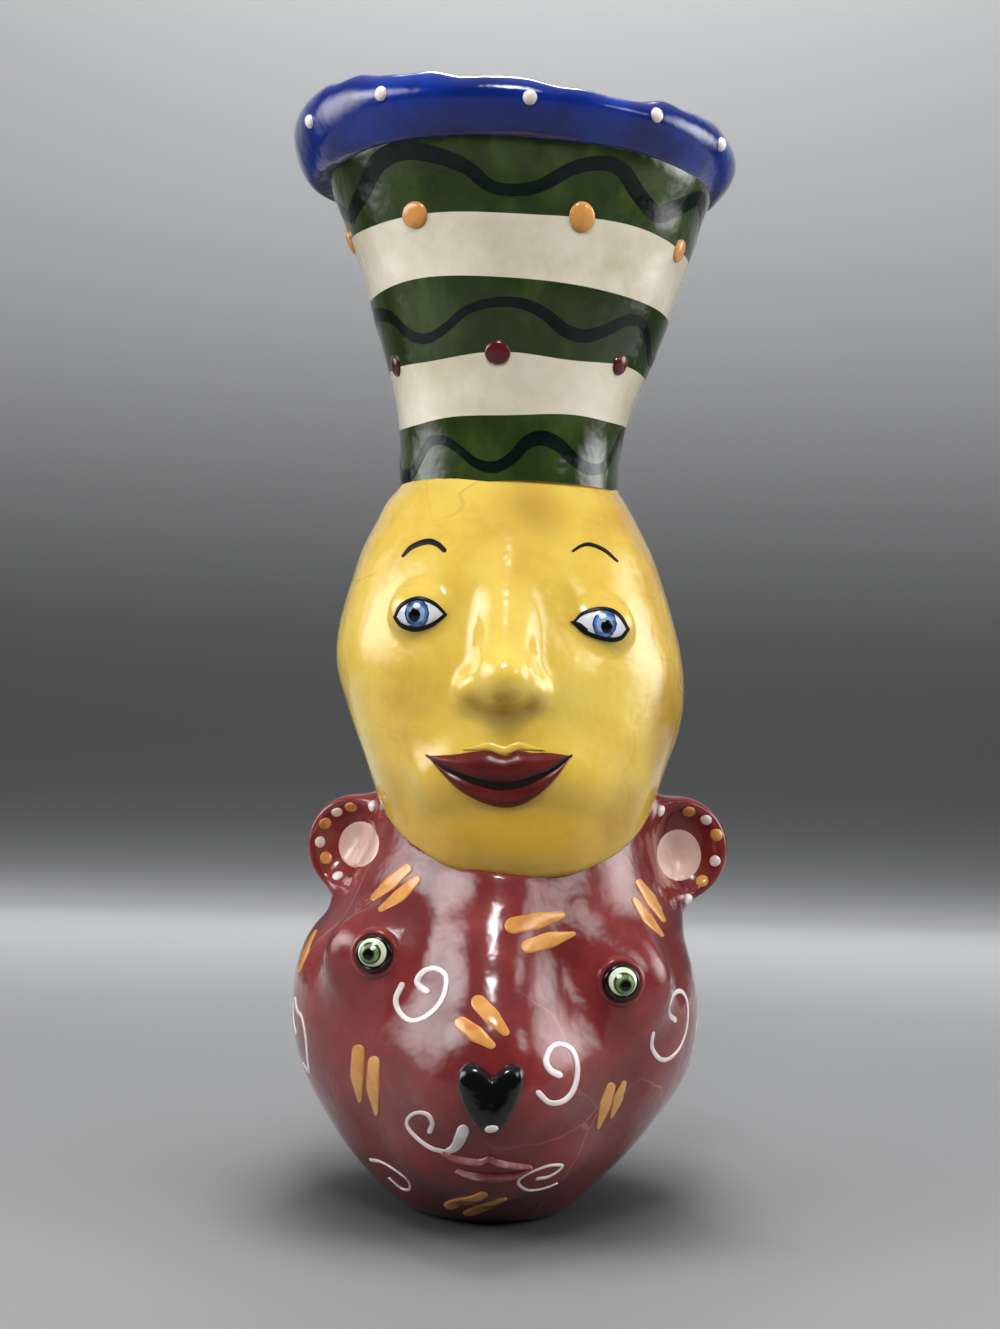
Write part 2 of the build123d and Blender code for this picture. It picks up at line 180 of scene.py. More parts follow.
def make_piece(name, verts, faces, materials, nodes=(), indices=None):
    """A smooth-shaded mesh from millimetres, riding on the root body, in place of the named CAD nodes."""
    mesh = bpy.data.meshes.new(name)
    mesh.from_pydata((np.asarray(verts) * MM).tolist(), [], [tuple(int(i) for i in f) for f in faces])
    if not isinstance(materials, (list, tuple)):
        materials = [materials]
    for material in materials:
        mesh.materials.append(material)
    if indices is not None:
        mesh.polygons.foreach_set("material_index", np.asarray(indices, np.int32))
    mesh.polygons.foreach_set("use_smooth", [True] * len(mesh.polygons))
    mesh.update()
    piece = bpy.data.objects.new(name, mesh)
    bpy.context.scene.collection.objects.link(piece)
    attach(piece, "root")
    if nodes:
        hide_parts(*nodes)


def surface(field, low, high, voxel):
    """Vertices and quads of the zero level of a distance field, settled exactly onto it."""
    low, high = np.asarray(low, float), np.asarray(high, float)
    n = np.ceil((high - low) / voxel).astype(int)
    axes = [low[k] + voxel * np.arange(n[k]) for k in range(3)]
    values = np.empty(n, np.float32)
    for i, x in enumerate(axes[0]):
        y, z = np.meshgrid(axes[1], axes[2], indexing="ij")
        values[i] = field(np.stack([np.full_like(y, x), y, z], axis=-1))
    grid = openvdb.FloatGrid(float(voxel * 3))
    grid.copyFromArray(values)
    verts, quads = grid.convertToQuads(isovalue=0.0)
    verts = np.asarray(verts, float) * voxel + low
    quads = np.asarray(quads)
    for _ in range(POLISH):
        d = field(verts)
        g = np.stack([(field(verts + e) - field(verts - e)) / (2 * PROBE) for e in np.eye(3) * PROBE], axis=-1)
        step = (d / np.maximum((g**2).sum(-1), 0.09))[:, None] * g
        verts = verts - np.clip(step, -voxel, voxel)
    a, b, c = (verts[quads[:, k]] for k in range(3))
    if (np.cross(b - a, c - a) * (a - a.mean(0))).sum() < 0:
        quads = quads[:, ::-1]
    return verts, quads


class Projector:
    """Lays 2-D drawings on a mesh: photo pixels through the camera, or millimetres from any side."""

    def __init__(self, verts, faces):
        self.tree = BVHTree.FromPolygons([tuple(v) for v in verts], [tuple(int(i) for i in f) for f in faces])

    def cast(self, origin, way, depth):
        hit, normal, _, _ = self.tree.ray_cast(Vector(origin), Vector(way))
        if hit is None:
            hit, normal, _, _ = self.tree.find_nearest(Vector(origin + way * depth))
        hit, normal = np.array(hit), np.array(normal)
        return hit, normal if normal @ way < 0 else -normal

    def pixel(self, x, y):
        return self.cast(CAMERA_AT, unit(pixel_way(x, y)), FROM_CAMERA)

    def square_on(self, x, y):
        """The surface point under a photo pixel, with the directions right, up and out of the surface there."""
        at, out = self.pixel(x, y)
        right = unit(np.cross(-out, [0.0, 0.0, 1.0]))
        return at, right, np.cross(right, -out), out

    def facing(self, x, y):
        """A projector of local millimetres (right, down) square on to the surface point under a photo pixel."""
        at, right, up, out = self.square_on(x, y)
        return lambda u, v: self.cast(at + out * FROM_FACING + right * u - up * v, -out, FROM_FACING)

    def turned(self, x, y, points):
        """The projector of facing(x, y), and photo pixels as its local millimetres."""
        at, right, up, _ = self.square_on(x, y)
        spots = [self.pixel(*q)[0] - at for q in points]
        return self.facing(x, y), [(s @ right, -(s @ up)) for s in spots]

    def side(self, bearing, height, tilt=0.0):
        """A projector of local millimetres (right, down) round a surface point at a bearing and height."""
        b, e = radians(bearing), radians(tilt)
        level = np.array([sin(b), -cos(b), 0.0])
        foot, _ = self.cast(np.array([0.0, 0.0, height]) + level * FROM_AXIS, -level, TO_WALL)
        out = level * cos(e) + np.array([0.0, 0.0, sin(e)])
        right = np.array([cos(b), sin(b), 0.0])
        up = np.cross(right, -out)
        return lambda x, y: self.cast(foot + out * FROM_SIDE + right * x - up * y, -out, FROM_SIDE)


def lay_rows(cast, rows, lift):
    """Casts rows of 2-D points onto the surface, lifted by a height for each."""
    out = []
    for row, heights in zip(rows, lift):
        line = []
        for (x, y), h in zip(row, heights):
            p, n = cast(x, y)
            line.append(p + n * h)
        out.append(line)
    return np.array(out)


def strip_faces(rows, cols, start=0, closed=False):
    """Quads between rows of points; a closed strip also joins the last column to the first."""
    return [(start + r * cols + c, start + r * cols + (c + 1) % cols, start + (r + 1) * cols + (c + 1) % cols,
             start + (r + 1) * cols + c) for r in range(rows - 1) for c in range(cols if closed else cols - 1)]


class Drawing:
    """Collects strips and pads of one colour into one piece."""

    def __init__(self):
        self.verts, self.faces = [], []

    def grid(self, points, closed=False):
        self.faces += strip_faces(*points.shape[:2], len(self.verts), closed)
        self.verts += list(points.reshape(-1, 3))

    def stroke(self, cast, points, widths, height=0.35, step=2.5, base=0.12):
        """A brush stroke or line of slip through points, with widths given along it."""
        pts = np.asarray(points, float)
        length = np.linalg.norm(np.diff(pts, axis=0), axis=1).sum()
        n = max(6, int(length / step))
        line = smooth_curve(pts, n)
        w = np.interp(np.linspace(0, 1, n), np.linspace(0, 1, len(widths)), widths)
        d = np.gradient(line, axis=0)
        d /= np.linalg.norm(d, axis=1)[:, None] + 1e-9
        ends = []
        for end, sign, w0 in ((0, -1, w[0]), (-1, 1, w[-1])):
            extra = [(line[end] + d[end] * sign * w0 / 2 * s, w0 * sqrt(max(0.0, 1 - s * s)), d[end])
                     for s in ROUND_END]
            ends.append(extra[::-1] if end == 0 else extra)
        rows = ends[0] + [(line[i], w[i], d[i]) for i in range(n)] + ends[1]
        grid, lift = [], []
        for centre, width, way in rows:
            side = np.array([-way[1], way[0]])
            grid.append([centre + side * width / 2 * k for k in ACROSS])
            lift.append([base + height * sqrt(max(0.0, 1 - k * k)) - (0.3 if abs(k) > 0.99 else 0) for k in ACROSS])
        lift[0] = lift[-1] = [-0.15] * len(ACROSS)
        self.grid(lay_rows(cast, grid, lift))

    def dot(self, cast, x, y, rx, ry=None, height=0.6, base=0.1, turn=0.0, rings=5, around=22):
        """A round or oval pad with a domed top."""
        ry = rx if ry is None else ry
        c, s = cos(turn), sin(turn)
        rows, lift = [], []
        for k in range(rings + 1):
            r = sin(k / rings * pi / 2)
            row = []
            for a in np.linspace(0, 2 * pi, around, endpoint=False):
                u, v = rx * r * cos(a), ry * r * sin(a)
                row.append((x + u * c - v * s, y + u * s + v * c))
            rows.append(row)
            lift.append([base + height * sqrt(max(0.0, 1 - r * r)) - (0.35 if k == rings else 0)] * around)
        self.grid(lay_rows(cast, rows, lift), closed=True)

    def patch(self, cast, upper, lower, height, base=0.12, n=40, m=9, sink=0.35):
        """Fills between an upper and a lower line, bulging by height(u, v)."""
        top, low = smooth_curve(upper, n), smooth_curve(lower, n)
        rows, lift = [], []
        for j, v in enumerate(np.linspace(0, 1, m)):
            rows.append(top * (1 - v) + low * v)
            lift.append([base + height(u, v) - (sink if j in (0, m - 1) else 0) for u in np.linspace(0, 1, n)])
        self.grid(lay_rows(cast, rows, lift))

    def finish(self, name, material, slot, nodes=()):
        make_piece(name, self.verts, self.faces, material, nodes)


# ---- materials
class Net:
    """Adds nodes to a node tree. Inputs are given by socket, as a value or as another node's output."""

    def __init__(self, tree):
        self.tree = tree

    def feed(self, node, inputs):
        for socket, value in inputs.items():
            if isinstance(value, bpy.types.NodeSocket):
                self.tree.links.new(value, node.inputs[socket])
            else:
                node.inputs[socket].default_value = value

    def add(self, kind, output, inputs=None, **settings):
        """Adds a node and returns one of its outputs."""
        node = self.tree.nodes.new("ShaderNode" + kind)
        for key, value in settings.items():
            setattr(node, key, value)
        self.feed(node, inputs or {})
        return node.outputs[output]

    def ramp(self, value, stops, interpolation="LINEAR"):
        node = self.tree.nodes.new("ShaderNodeValToRGB")
        node.color_ramp.interpolation = interpolation
        elements = node.color_ramp.elements
        for end in (0, -1):
            elements[end].position, elements[end].color = stops[end][0], (*stops[end][1], 1)
        for at, colour in stops[1:-1]:
            elements.new(at).color = (*colour, 1)
        self.feed(node, {0: value})
        return node.outputs[0]

    def mix(self, share, under, over):
        return self.add("Mix", "Result", {"Factor": share, "A": under, "B": (*over, 1)}, data_type="RGBA")


def srgb(colour):
    return tuple(((c / 255 + 0.055) / 1.055) ** 2.4 if c > 10 else c / 255 / 12.92 for c in colour)


def glaze(name, colour, dark, light, scale, rough=0.16, coat=1.0, streak=1.0, speck=0.0, gloss=0.05, craze=None,
          stains_and_shade=()):
    """Glossy hand-brushed glaze: cloudy brush marks in its colour, slight waviness and a clear coat.

    craze adds fine cracks in places, stains_and_shade add darker patches, real stain marks in the glaze and painted
    shade (centre, half sizes in mm, strength), speck adds dust.
    """
    colour, dark, light = srgb(colour), srgb(dark), srgb(light)
    material = bpy.data.materials.new(name)
    material.use_nodes = True
    net = Net(material.node_tree)
    where = net.add("TexCoord", "Object")
    brushed = net.add("Mapping", 0, {0: where, "Scale": (1.0, 1.0, streak)})
    cloud = net.add("TexNoise", "Fac", {"Vector": brushed, "Scale": scale, "Detail": 5.0, "Roughness": 0.6})
    paint = net.ramp(cloud, [(0.3, dark), (0.5, colour), (0.72, light)])
    if craze:
        bend = net.add("TexNoise", "Color", {"Vector": where, "Scale": 30.0})
        bent = net.add("VectorMath", 0, {0: bend, 1: (0.03, 0.03, 0.03), 2: where}, operation="MULTIPLY_ADD")
        edge = net.add("TexVoronoi", "Distance", {"Vector": bent, "Scale": 17.0}, feature="DISTANCE_TO_EDGE")
        thin = net.add("MapRange", "Result", {"Value": edge, "From Min": 0.004, "From Max": 0.011, "To Min": 1.0,
                                              "To Max": 0.0})
        patchy = net.add("TexNoise", "Fac", {"Vector": where, "Scale": 13.0})
        fade = net.add("MapRange", "Result", {"Value": patchy, "From Min": 0.5, "From Max": 0.64, "To Max": 0.4})
        cracks = net.add("Math", 0, {0: thin, 1: fade}, operation="MULTIPLY")
        paint = net.mix(cracks, paint, srgb(craze))
    # darker patches: some are stain marks in the glaze, some are painted shade
    for centre, size, amount in stains_and_shade:
        moved = net.add("VectorMath", 0, {0: where, 1: [c * MM for c in centre]}, operation="SUBTRACT")
        scaled = net.add("VectorMath", 0, {0: moved, 1: [c * MM for c in size]}, operation="DIVIDE")
        far = net.add("VectorMath", "Value", {0: scaled}, operation="LENGTH")
        wisp = net.add("Math", 0, {0: cloud, 1: -2.4, 2: far}, operation="MULTIPLY_ADD")
        reach = net.add("MapRange", "Result", {"Value": wisp, "From Min": -1.1, "From Max": 0.1, "To Min": amount,
                                               "To Max": 0.0}, interpolation_type="SMOOTHSTEP")
        paint = net.mix(reach, paint, [c * 0.7 for c in dark])
    if speck:
        dust = net.add("TexVoronoi", "Distance", {"Vector": where, "Scale": 420.0})
        grains = net.ramp(dust, [(0.02, (1, 1, 1)), (0.09, (0, 0, 0))])
        faint = net.add("Math", 0, {0: grains, 1: speck}, operation="MULTIPLY")
        paint = net.mix(faint, paint, [c * 0.35 for c in dark])
    wave = net.add("TexNoise", "Fac", {"Vector": where, "Scale": 55.0, "Detail": 3.0})
    relief = net.add("Bump", 0, {"Strength": 0.45, "Distance": 0.002, "Height": wave})
    net.feed(net.tree.nodes["Principled BSDF"], {
        "Base Color": paint, "Normal": relief, "Coat Normal": relief, "Roughness": rough, "IOR": 1.5,
        "Specular IOR Level": 0.2, "Coat Weight": coat, "Coat Roughness": gloss, "Coat IOR": 1.42})
    return material


# maroon: its darker patch low round the foot is painted shade, where the bear turns down towards the floor
maroon = glaze("maroon_glaze", (118, 39, 39), (94, 26, 27), (146, 60, 58), 28, rough=0.25, gloss=0.08,
               stains_and_shade=[((0, -10, 8), (74, 74, 34), 0.6)], craze=(200, 130, 128))
maroon_slip = glaze("maroon_slip", (82, 20, 24), (66, 13, 18), (98, 30, 34), 80)
lip_red = glaze("lip_glaze", (98, 30, 28), (80, 19, 19), (122, 46, 42), 60, rough=0.3, coat=0.3, gloss=0.22)
# yellow: the patch on the chin (3, -50, 136) and the one under the nose (0, -70, 186) are painted shade; the other
# patches are brown mottling in the glaze
yellow = glaze("yellow_glaze", (226, 190, 78), (192, 143, 38), (240, 212, 106), 17, rough=0.22, speck=0.25,
               craze=(160, 120, 44), stains_and_shade=[
                   ((60, -32, 178), (11, 20, 26), 0.75), ((8, -44, 252), (14, 12, 17), 0.7),
                   ((3, -50, 136), (56, 40, 26), 0.85), ((-42, -42, 152), (12, 12, 12), 0.5),
                   ((43, -42, 150), (12, 12, 10), 0.5), ((0, -70, 186), (16, 10, 7), 0.5)])
green = glaze("green_glaze", (38, 55, 20), (26, 41, 12), (62, 82, 34), 45, streak=0.5)
wave_ink = glaze("dark_wave", (6, 20, 14), (4, 14, 10), (12, 30, 22), 70, coat=0.45)
cream = glaze("cream_glaze", (222, 213, 190), (204, 194, 168), (234, 226, 206), 40, speck=0.12)
blue = glaze("blue_glaze", (8, 36, 118), (6, 25, 92), (16, 54, 154), 40)
orange = glaze("orange_slip", (212, 148, 76), (192, 124, 56), (224, 166, 96), 110)
white = glaze("white_slip", (232, 220, 216), (214, 200, 196), (242, 236, 232), 90)
pink = glaze("pink_glaze", (226, 190, 176), (206, 168, 154), (238, 208, 194), 70)
black = glaze("black_glaze", (6, 6, 7), (3, 3, 4), (12, 12, 13), 60, rough=0.12)
black_line = glaze("black_line", (10, 9, 10), (5, 5, 6), (20, 18, 18), 90, rough=0.4, coat=0.15)
iris_light = glaze("iris_light", (142, 176, 214), (110, 150, 200), (176, 202, 228), 300)
eye_white = glaze("eye_white", (226, 228, 236), (208, 212, 224), (238, 240, 244), 120)
iris_blue = glaze("iris_blue", (78, 122, 182), (52, 92, 156), (112, 154, 206), 260)
iris_dark = glaze("iris_edge", (36, 66, 116), (26, 50, 96), (50, 84, 136), 260)
bead_green = glaze("bead_green", (104, 130, 76), (74, 100, 50), (150, 170, 112), 300)
bead_deep = glaze("bead_deep_green", (48, 72, 34), (34, 54, 24), (70, 94, 50), 300)
bead_rim = glaze("bead_rim", (226, 236, 204), (206, 220, 180), (236, 242, 222), 200)
shine = glaze("highlight_white", (246, 248, 250), (240, 242, 246), (250, 250, 252), 80)
# paler than the maroon: painted highlight along the raised ridges of the bear's mouth
mouth_ridge_painted_highlight = glaze("mouth_ridge_painted_highlight", (160, 92, 92), (124, 52, 52), (216, 172, 172), 110)
inner = glaze("inner_glaze", (150, 120, 96), (130, 100, 80), (168, 140, 116), 30)

# ---- forms of the two heads
BEAR_LEVELS = [
    (-3.0, 26.0, 31.0, 26.0, -1.0),
    (0.0, 31.0, 37.5, 30.0, -1.6),
    (3.0, 35.0, 43.5, 34.0, -2.0),
    (7.0, 39.2, 48.5, 38.0, -2.2),
    (12.2, 44.4, 52.0, 43.0, -2.4),
    (20.8, 52.8, 55.5, 50.2, -2.3),
    (33.4, 62.8, 60.4, 59.2, -1.5),
    (44.2, 69.6, 66.0, 65.0, -0.6),
    (56.0, 74.0, 71.5, 70.0, -0.4),
    (66.0, 75.6, 74.5, 72.3, -0.4),
    (75.0, 76.0, 75.2, 73.0, -0.4),
    (88.6, 74.0, 74.0, 72.2, -0.8),
    (100.2, 69.8, 71.5, 70.4, 0.3),
    (106.0, 66.9, 69.6, 68.8, 2.3),
    (112.0, 63.7, 67.6, 67.0, 3.3),
    (126.1, 57.0, 62.0, 59.0, 3.4),
    (139.0, 52.5, 57.0, 55.0, 4.6),
    (152.0, 51.0, 52.0, 52.0, 5.5),
    (167.0, 50.0, 51.0, 51.0, 5.5),
]
FACE_LEVELS = [
    (104.0, 45.0, 58.0, 45.0, 5.5),
    (120.0, 46.3, 61.5, 47.5, 5.5),
    (135.8, 48.5, 64.0, 49.6, 5.5),
    (156.9, 53.8, 65.7, 53.0, 5.4),
    (166.3, 57.2, 66.2, 54.9, 5.2),
    (175.8, 60.8, 66.8, 57.0, 4.8),
    (185.3, 63.4, 67.1, 59.4, 3.9),
    (194.8, 65.0, 67.4, 61.6, 2.5),
    (204.2, 65.0, 66.9, 62.4, 1.5),
    (213.7, 63.7, 65.4, 61.6, 0.8),
    (223.2, 61.4, 63.2, 59.6, 0.4),
    (232.7, 58.3, 60.0, 57.0, 0.1),
    (242.1, 54.8, 56.2, 53.8, 0.0),
    (251.6, 50.1, 51.2, 49.4, -0.3),
    (261.0, 45.2, 45.6, 45.0, -0.5),
    (266.0, 41.6, 41.8, 41.8, 0.0),
    (272.0, 40.0, 40.0, 40.0, 0.0),
]
BEAR_WALL, FACE_WALL, FOOT_SLAB = 7.0, 6.5, 9.0
# Height of the slanting seam under the chin, by bearing from the front round the face's own middle
SEAM = np.array([(0, 124.6), (20, 126.8), (40, 133.0), (55, 139.5), (70, 146.0), (90, 152.0), (130, 156.0), (180,
    158.0)])
FACE_LEAN = 5.5
# Ears: centre, radius across, share taller than wide, and turn away from the front
EARS = (((-53.9, 1.5, 131.0), 19.2, 1.0, -12.0), ((66.2, 1.5, 132.5), 19.6, 1.02, 12.0))


def seam_height(p):
    bearing = np.degrees(np.arctan2(np.abs(p[..., 0] - FACE_LEAN), -p[..., 1]))
    return np.interp(bearing, SEAM[:, 0], SEAM[:, 1])


def bear_field(p):
    d = oval_stack(p, BEAR_LEVELS)
    # snout, bridge of the nose, and the puffed cheeks round the eyes
    d = blend(d, ball(p, (0, -46, 59), (36.5, 53.5, 33.5)), 16)
    d = blend(d, rod(p, (0, -54.0, 120), (-1.5, -60.0, 97), 12.5, 16.0), 12)
    d = blend(d, rod(p, (-1.5, -60.0, 97), (-1, -76.0, 73), 16.0, 17.0), 10)
    for side, z in ((-1, 97.0), (1, 89.5)):
        d = blend(d, ball(p, (43 * side, -51.5, z), (17, 12, 15)), 12)
    # jaw under the mouth
    d = blend(d, ball(p, (0, -55, 29), (26, 20, 14)), 14)
    for (x, y, z), radius, tall, turn_by in EARS:
        turn = radians(turn_by)
        side = copysign(1, x)
        q = p - np.array([x, y, z])
        u = q[..., 0] * cos(turn) + q[..., 1] * sin(turn)
        v = -q[..., 0] * sin(turn) + q[..., 1] * cos(turn)
        w = q[..., 2] / tall
        ear = disc_lobe(u, v, w, radius, 7.0, 5.0)
        dish = np.sqrt(u**2 + (v + 18.0) ** 2 + w**2) - 20.6
        ear = carve(ear, dish, 2.4)
        d = blend(d, ear, 10.0)
    d = d + 0.7 * lumps(p, 15.0, 3) + 0.4 * lumps(p, 7.5, 8) + 0.08 * lumps(p, 4.0, 21)
    top = p[..., 2] - (seam_height(p) + 3.0)
    d = np.maximum(d, top)
    hollow = np.maximum(oval_stack(p, BEAR_LEVELS, BEAR_WALL), FOOT_SLAB - p[..., 2])
    d = np.maximum(d, -hollow)
    return np.maximum(d, -p[..., 2])


def face_field(p):
    d = oval_stack(p, FACE_LEVELS)
    # eye sockets, then the bulging lids
    for x, y, z in ((-29.5, -66, 221.0), (32.0, -65.5, 218.5)):
        d = carve(d, ball(p, (x * 0.93, y - 6, z), (17, 10.5, 15)), 9)
    for x, y, z in ((-29.5, -52.6, 217.5), (32.6, -51.2, 214.6)):
        d = blend(d, ball(p, (x, y, z), (12.6, 9.2, 10.8)), 2.6)
    # nose: narrow ridge, ball of the tip and wings with a flat underside, soft base below it
    nose = rod(p, (0.3, -46.5, 244), (-0.5, -68.5, 197), 7.0, 11.2)
    nose = blend(nose, rod(p, (-11.8, -66.8, 191.4), (9.6, -66.8, 191.0), 5.8, 5.8), 6)
    nose = blend(nose, ball(p, (-0.2, -74.4, 195.0), (8.2, 8.6, 8.6)), 5)
    under = (p[..., 1] + 82) * -0.34 + (p[..., 2] - 188.0) * -0.94
    nose = -blend(-nose, -under, 0.7)
    d = blend(d, nose, 4.5)
    d = blend(d, rod(p, (-0.5, -63.6, 187), (0, -63.0, 179), 7.0, 5.0, (1.5, 1, 1)), 5)
    # mound of the mouth, hollow under the lower lip, soft ball of the chin
    d = blend(d, ball(p, (0, -56.5, 160.5), (27, 11.5, 15)), 10)
    d = carve(d, ball(p, (1, -76.5, 146.0), (22, 6.4, 8)), 13)
    d = blend(d, ball(p, (4, -54, 136), (20, 11.5, 11)), 10)
    d = d + 0.6 * lumps(p, 19.0, 5) + 0.4 * lumps(p, 9.0, 9) + 0.2 * lumps(p, 4.5, 12)
    edge = seam_height(p) - p[..., 2]
    d = -blend(-d, -edge, 3.2)
    d = np.maximum(d, -oval_stack(p, FACE_LEVELS, FACE_WALL))
    return np.maximum(d, p[..., 2] - 267.5)


VOXEL = 1.3
bear_verts, bear_quads = surface(bear_field, (-84, -108, -3), (92, 80, 168), VOXEL)
face_verts, face_quads = surface(face_field, (-70, -92, 118), (74, 72, 270), VOXEL)
make_piece("bear_head_glazed", bear_verts, bear_quads, maroon,
           ("base_slab", "bear_head", "bear_muzzle", "bear_ear_left", "bear_ear_right"))
make_piece("face_glazed", face_verts, face_quads, yellow,
           ("face_vessel", "face_nose", "face_eyelids_left", "face_eyelids_right"))
on_bear = Projector(bear_verts, bear_quads)
on_face = Projector(face_verts, face_quads)

# ---- hat
NECK_Z, HAT_H, NECK_R, TOP_R, HAT_WALL = 266.0, 115.0, 41.8, 73.0, 6.0
HAT_ROWS = [(0.0, 0.0, 0.0, 0.0), (0.171, 0.03, 0.08, 0.2), (0.304, 0.147, 0.18, 1.2), (0.435, 0.301, 0.28, 1.7),
    (0.567, 0.465, 0.38, 2.0), (0.7, 0.603, 0.53, 1.8), (0.83, 0.769, 0.73, 1.2), (0.9, 0.85, 0.84, 0.6), (1.0, 1.0,
    1.0, 0.0)]
HAT_TILT = radians(3.0)


def hat_point(bearing, rise, out=0.0):
    """A point of the hat's outside at a bearing in degrees and a share of its height."""
    row = hermite(HAT_ROWS, np.clip(rise, 0, 1))
    b = np.radians(bearing)
    lean = HAT_TILT * row[..., 1]
    r = NECK_R + (TOP_R - NECK_R) * row[..., 0] + out
    r = r + 0.5 * np.sin(2 * b + 1.0 + 3 * rise) + 0.35 * np.sin(3 * b + 5 * rise)
    x = r * np.sin(b)
    return np.stack([x * np.cos(lean) + row[..., 2], -r * np.cos(b), NECK_Z + HAT_H * rise - x * np.sin(lean)], axis=-1)


def hat_place(p):
    """Bearing and share of height of a point on the hat."""
    rise = (p[2] - NECK_Z) / HAT_H
    for _ in range(6):
        row = hermite(HAT_ROWS, np.array([min(max(rise, 0), 1)]))[0]
        lean = HAT_TILT * row[1]
        rise = (p[2] - NECK_Z + p[0] * tan(lean)) / HAT_H
    return degrees(atan2(p[0] - row[2], -p[1])), rise


AROUND, PLAIN_ROWS, BAND_ROWS = 180, 60, 7
bearings = np.linspace(-180, 180, AROUND, endpoint=False)


def hat_rings(rises, out=0.0):
    return [hat_point(bearings, np.full(AROUND, r), out) for r in rises]


plain = np.array(hat_rings(np.linspace(-0.03, 1.02, PLAIN_ROWS))).reshape(-1, 3)
on_hat = Projector(plain, strip_faces(PLAIN_ROWS, AROUND, 0, closed=True))

# Painted edges between bands, as photo pixels from left to right
BAND_EDGES = [[(397.5, 490.7), (437.5, 491.2), (457.5, 488.7), (490, 483), (525, 482.5), (562.5, 484.5), (621,
    486.2)], [(400.7, 430), (425, 422.5), (462.5, 416.2), (500, 414.5), (520, 415.7), (550, 413.7), (575, 415), (600,
    420), (625, 427)], [(394.5, 369), (407.5, 365), (450, 357.5), (482.5, 353), (512.5, 351.7), (550, 357.5), (600,
    362.5), (620, 365), (642, 376)], [(371, 301), (387.5, 288.7), (417.5, 278.7), (450, 275.7), (487.5, 276.2), (530,
    279.5), (575, 283.7), (600, 291.2), (630, 297.5), (650, 306.2), (666, 317.5)], [(351, 241.7), (380, 224), (426.7,
    213.3), (480, 212.3), (546.7, 215), (613, 221.7), (656.7, 235), (686, 258)]]


def rising(pixels):
    """Bearing and share of height of photo pixels on the hat, kept only while the bearing grows."""
    marks = []
    for x, y in pixels:
        place = hat_place(on_hat.pixel(x, y)[0])
        if abs(place[0]) < 86 and (not marks or place[0] > marks[-1][0] + 1.5):
            marks.append(place)
    return marks


def waves_of(bearing, order):
    b = np.radians(np.asarray(bearing, float))
    return np.stack([np.ones_like(b)] + [f(k * b) for k in range(1, order + 1) for f in (np.sin, np.cos)], axis=-1)


def round_curve(pixels, wobble, seed):
    """Share of height for every bearing: a smooth fit to photo pixels, closed round the unseen back."""
    marks = rising(pixels)
    a, b = marks[0], marks[-1]
    phase = np.random.default_rng(seed).uniform(0, 6.28, 2)
    back = np.arange(b[0] + 25, 360 + a[0] - 20, 15.0)
    fade = (back - b[0]) / (360 + a[0] - b[0])
    rise = b[1] + (a[1] - b[1]) * fade
    rise = rise + wobble * np.sin(fade * pi) * (np.sin(4 * fade + phase[0]) + 0.5 * np.sin(9 * fade + phase[1]))
    order = 7
    m = np.array(marks + list(zip(back, rise)))
    basis = waves_of(m[:, 0], order)
    damp = np.diag([0] + [0.0004 * k**2 for k in range(1, order + 1) for _ in (0, 1)])
    fit = np.linalg.solve(basis.T @ basis + damp, basis.T @ m[:, 1])
    return waves_of(bearings, order) @ fit


edges = [round_curve(e, 0.008, 20 + k) for k, e in enumerate(BAND_EDGES)]
edges[0] = -0.012 + (edges[0] - edges[0].mean())
band_lines = edges + [np.full(AROUND, 1.04)]
rows, paint = [], []
for k, colour in enumerate([1, 0, 1, 0, 1]):
    rows += [band_lines[k] + (band_lines[k + 1] - band_lines[k]) * j / BAND_ROWS for j in range(BAND_ROWS)]
    paint += [colour] * BAND_ROWS * AROUND
outside = [hat_point(bearings, r) for r in rows + [band_lines[-1]]]
shell = np.array(outside + hat_rings(np.linspace(1.0, -0.01, 22), -HAT_WALL) + outside[:1])
hat_faces = strip_faces(len(shell), AROUND, 0, closed=True)
make_piece("hat_striped", shell.reshape(-1, 3), hat_faces, [cream, green, inner], ("hat",),
           paint + [2] * (len(hat_faces) - len(paint)))

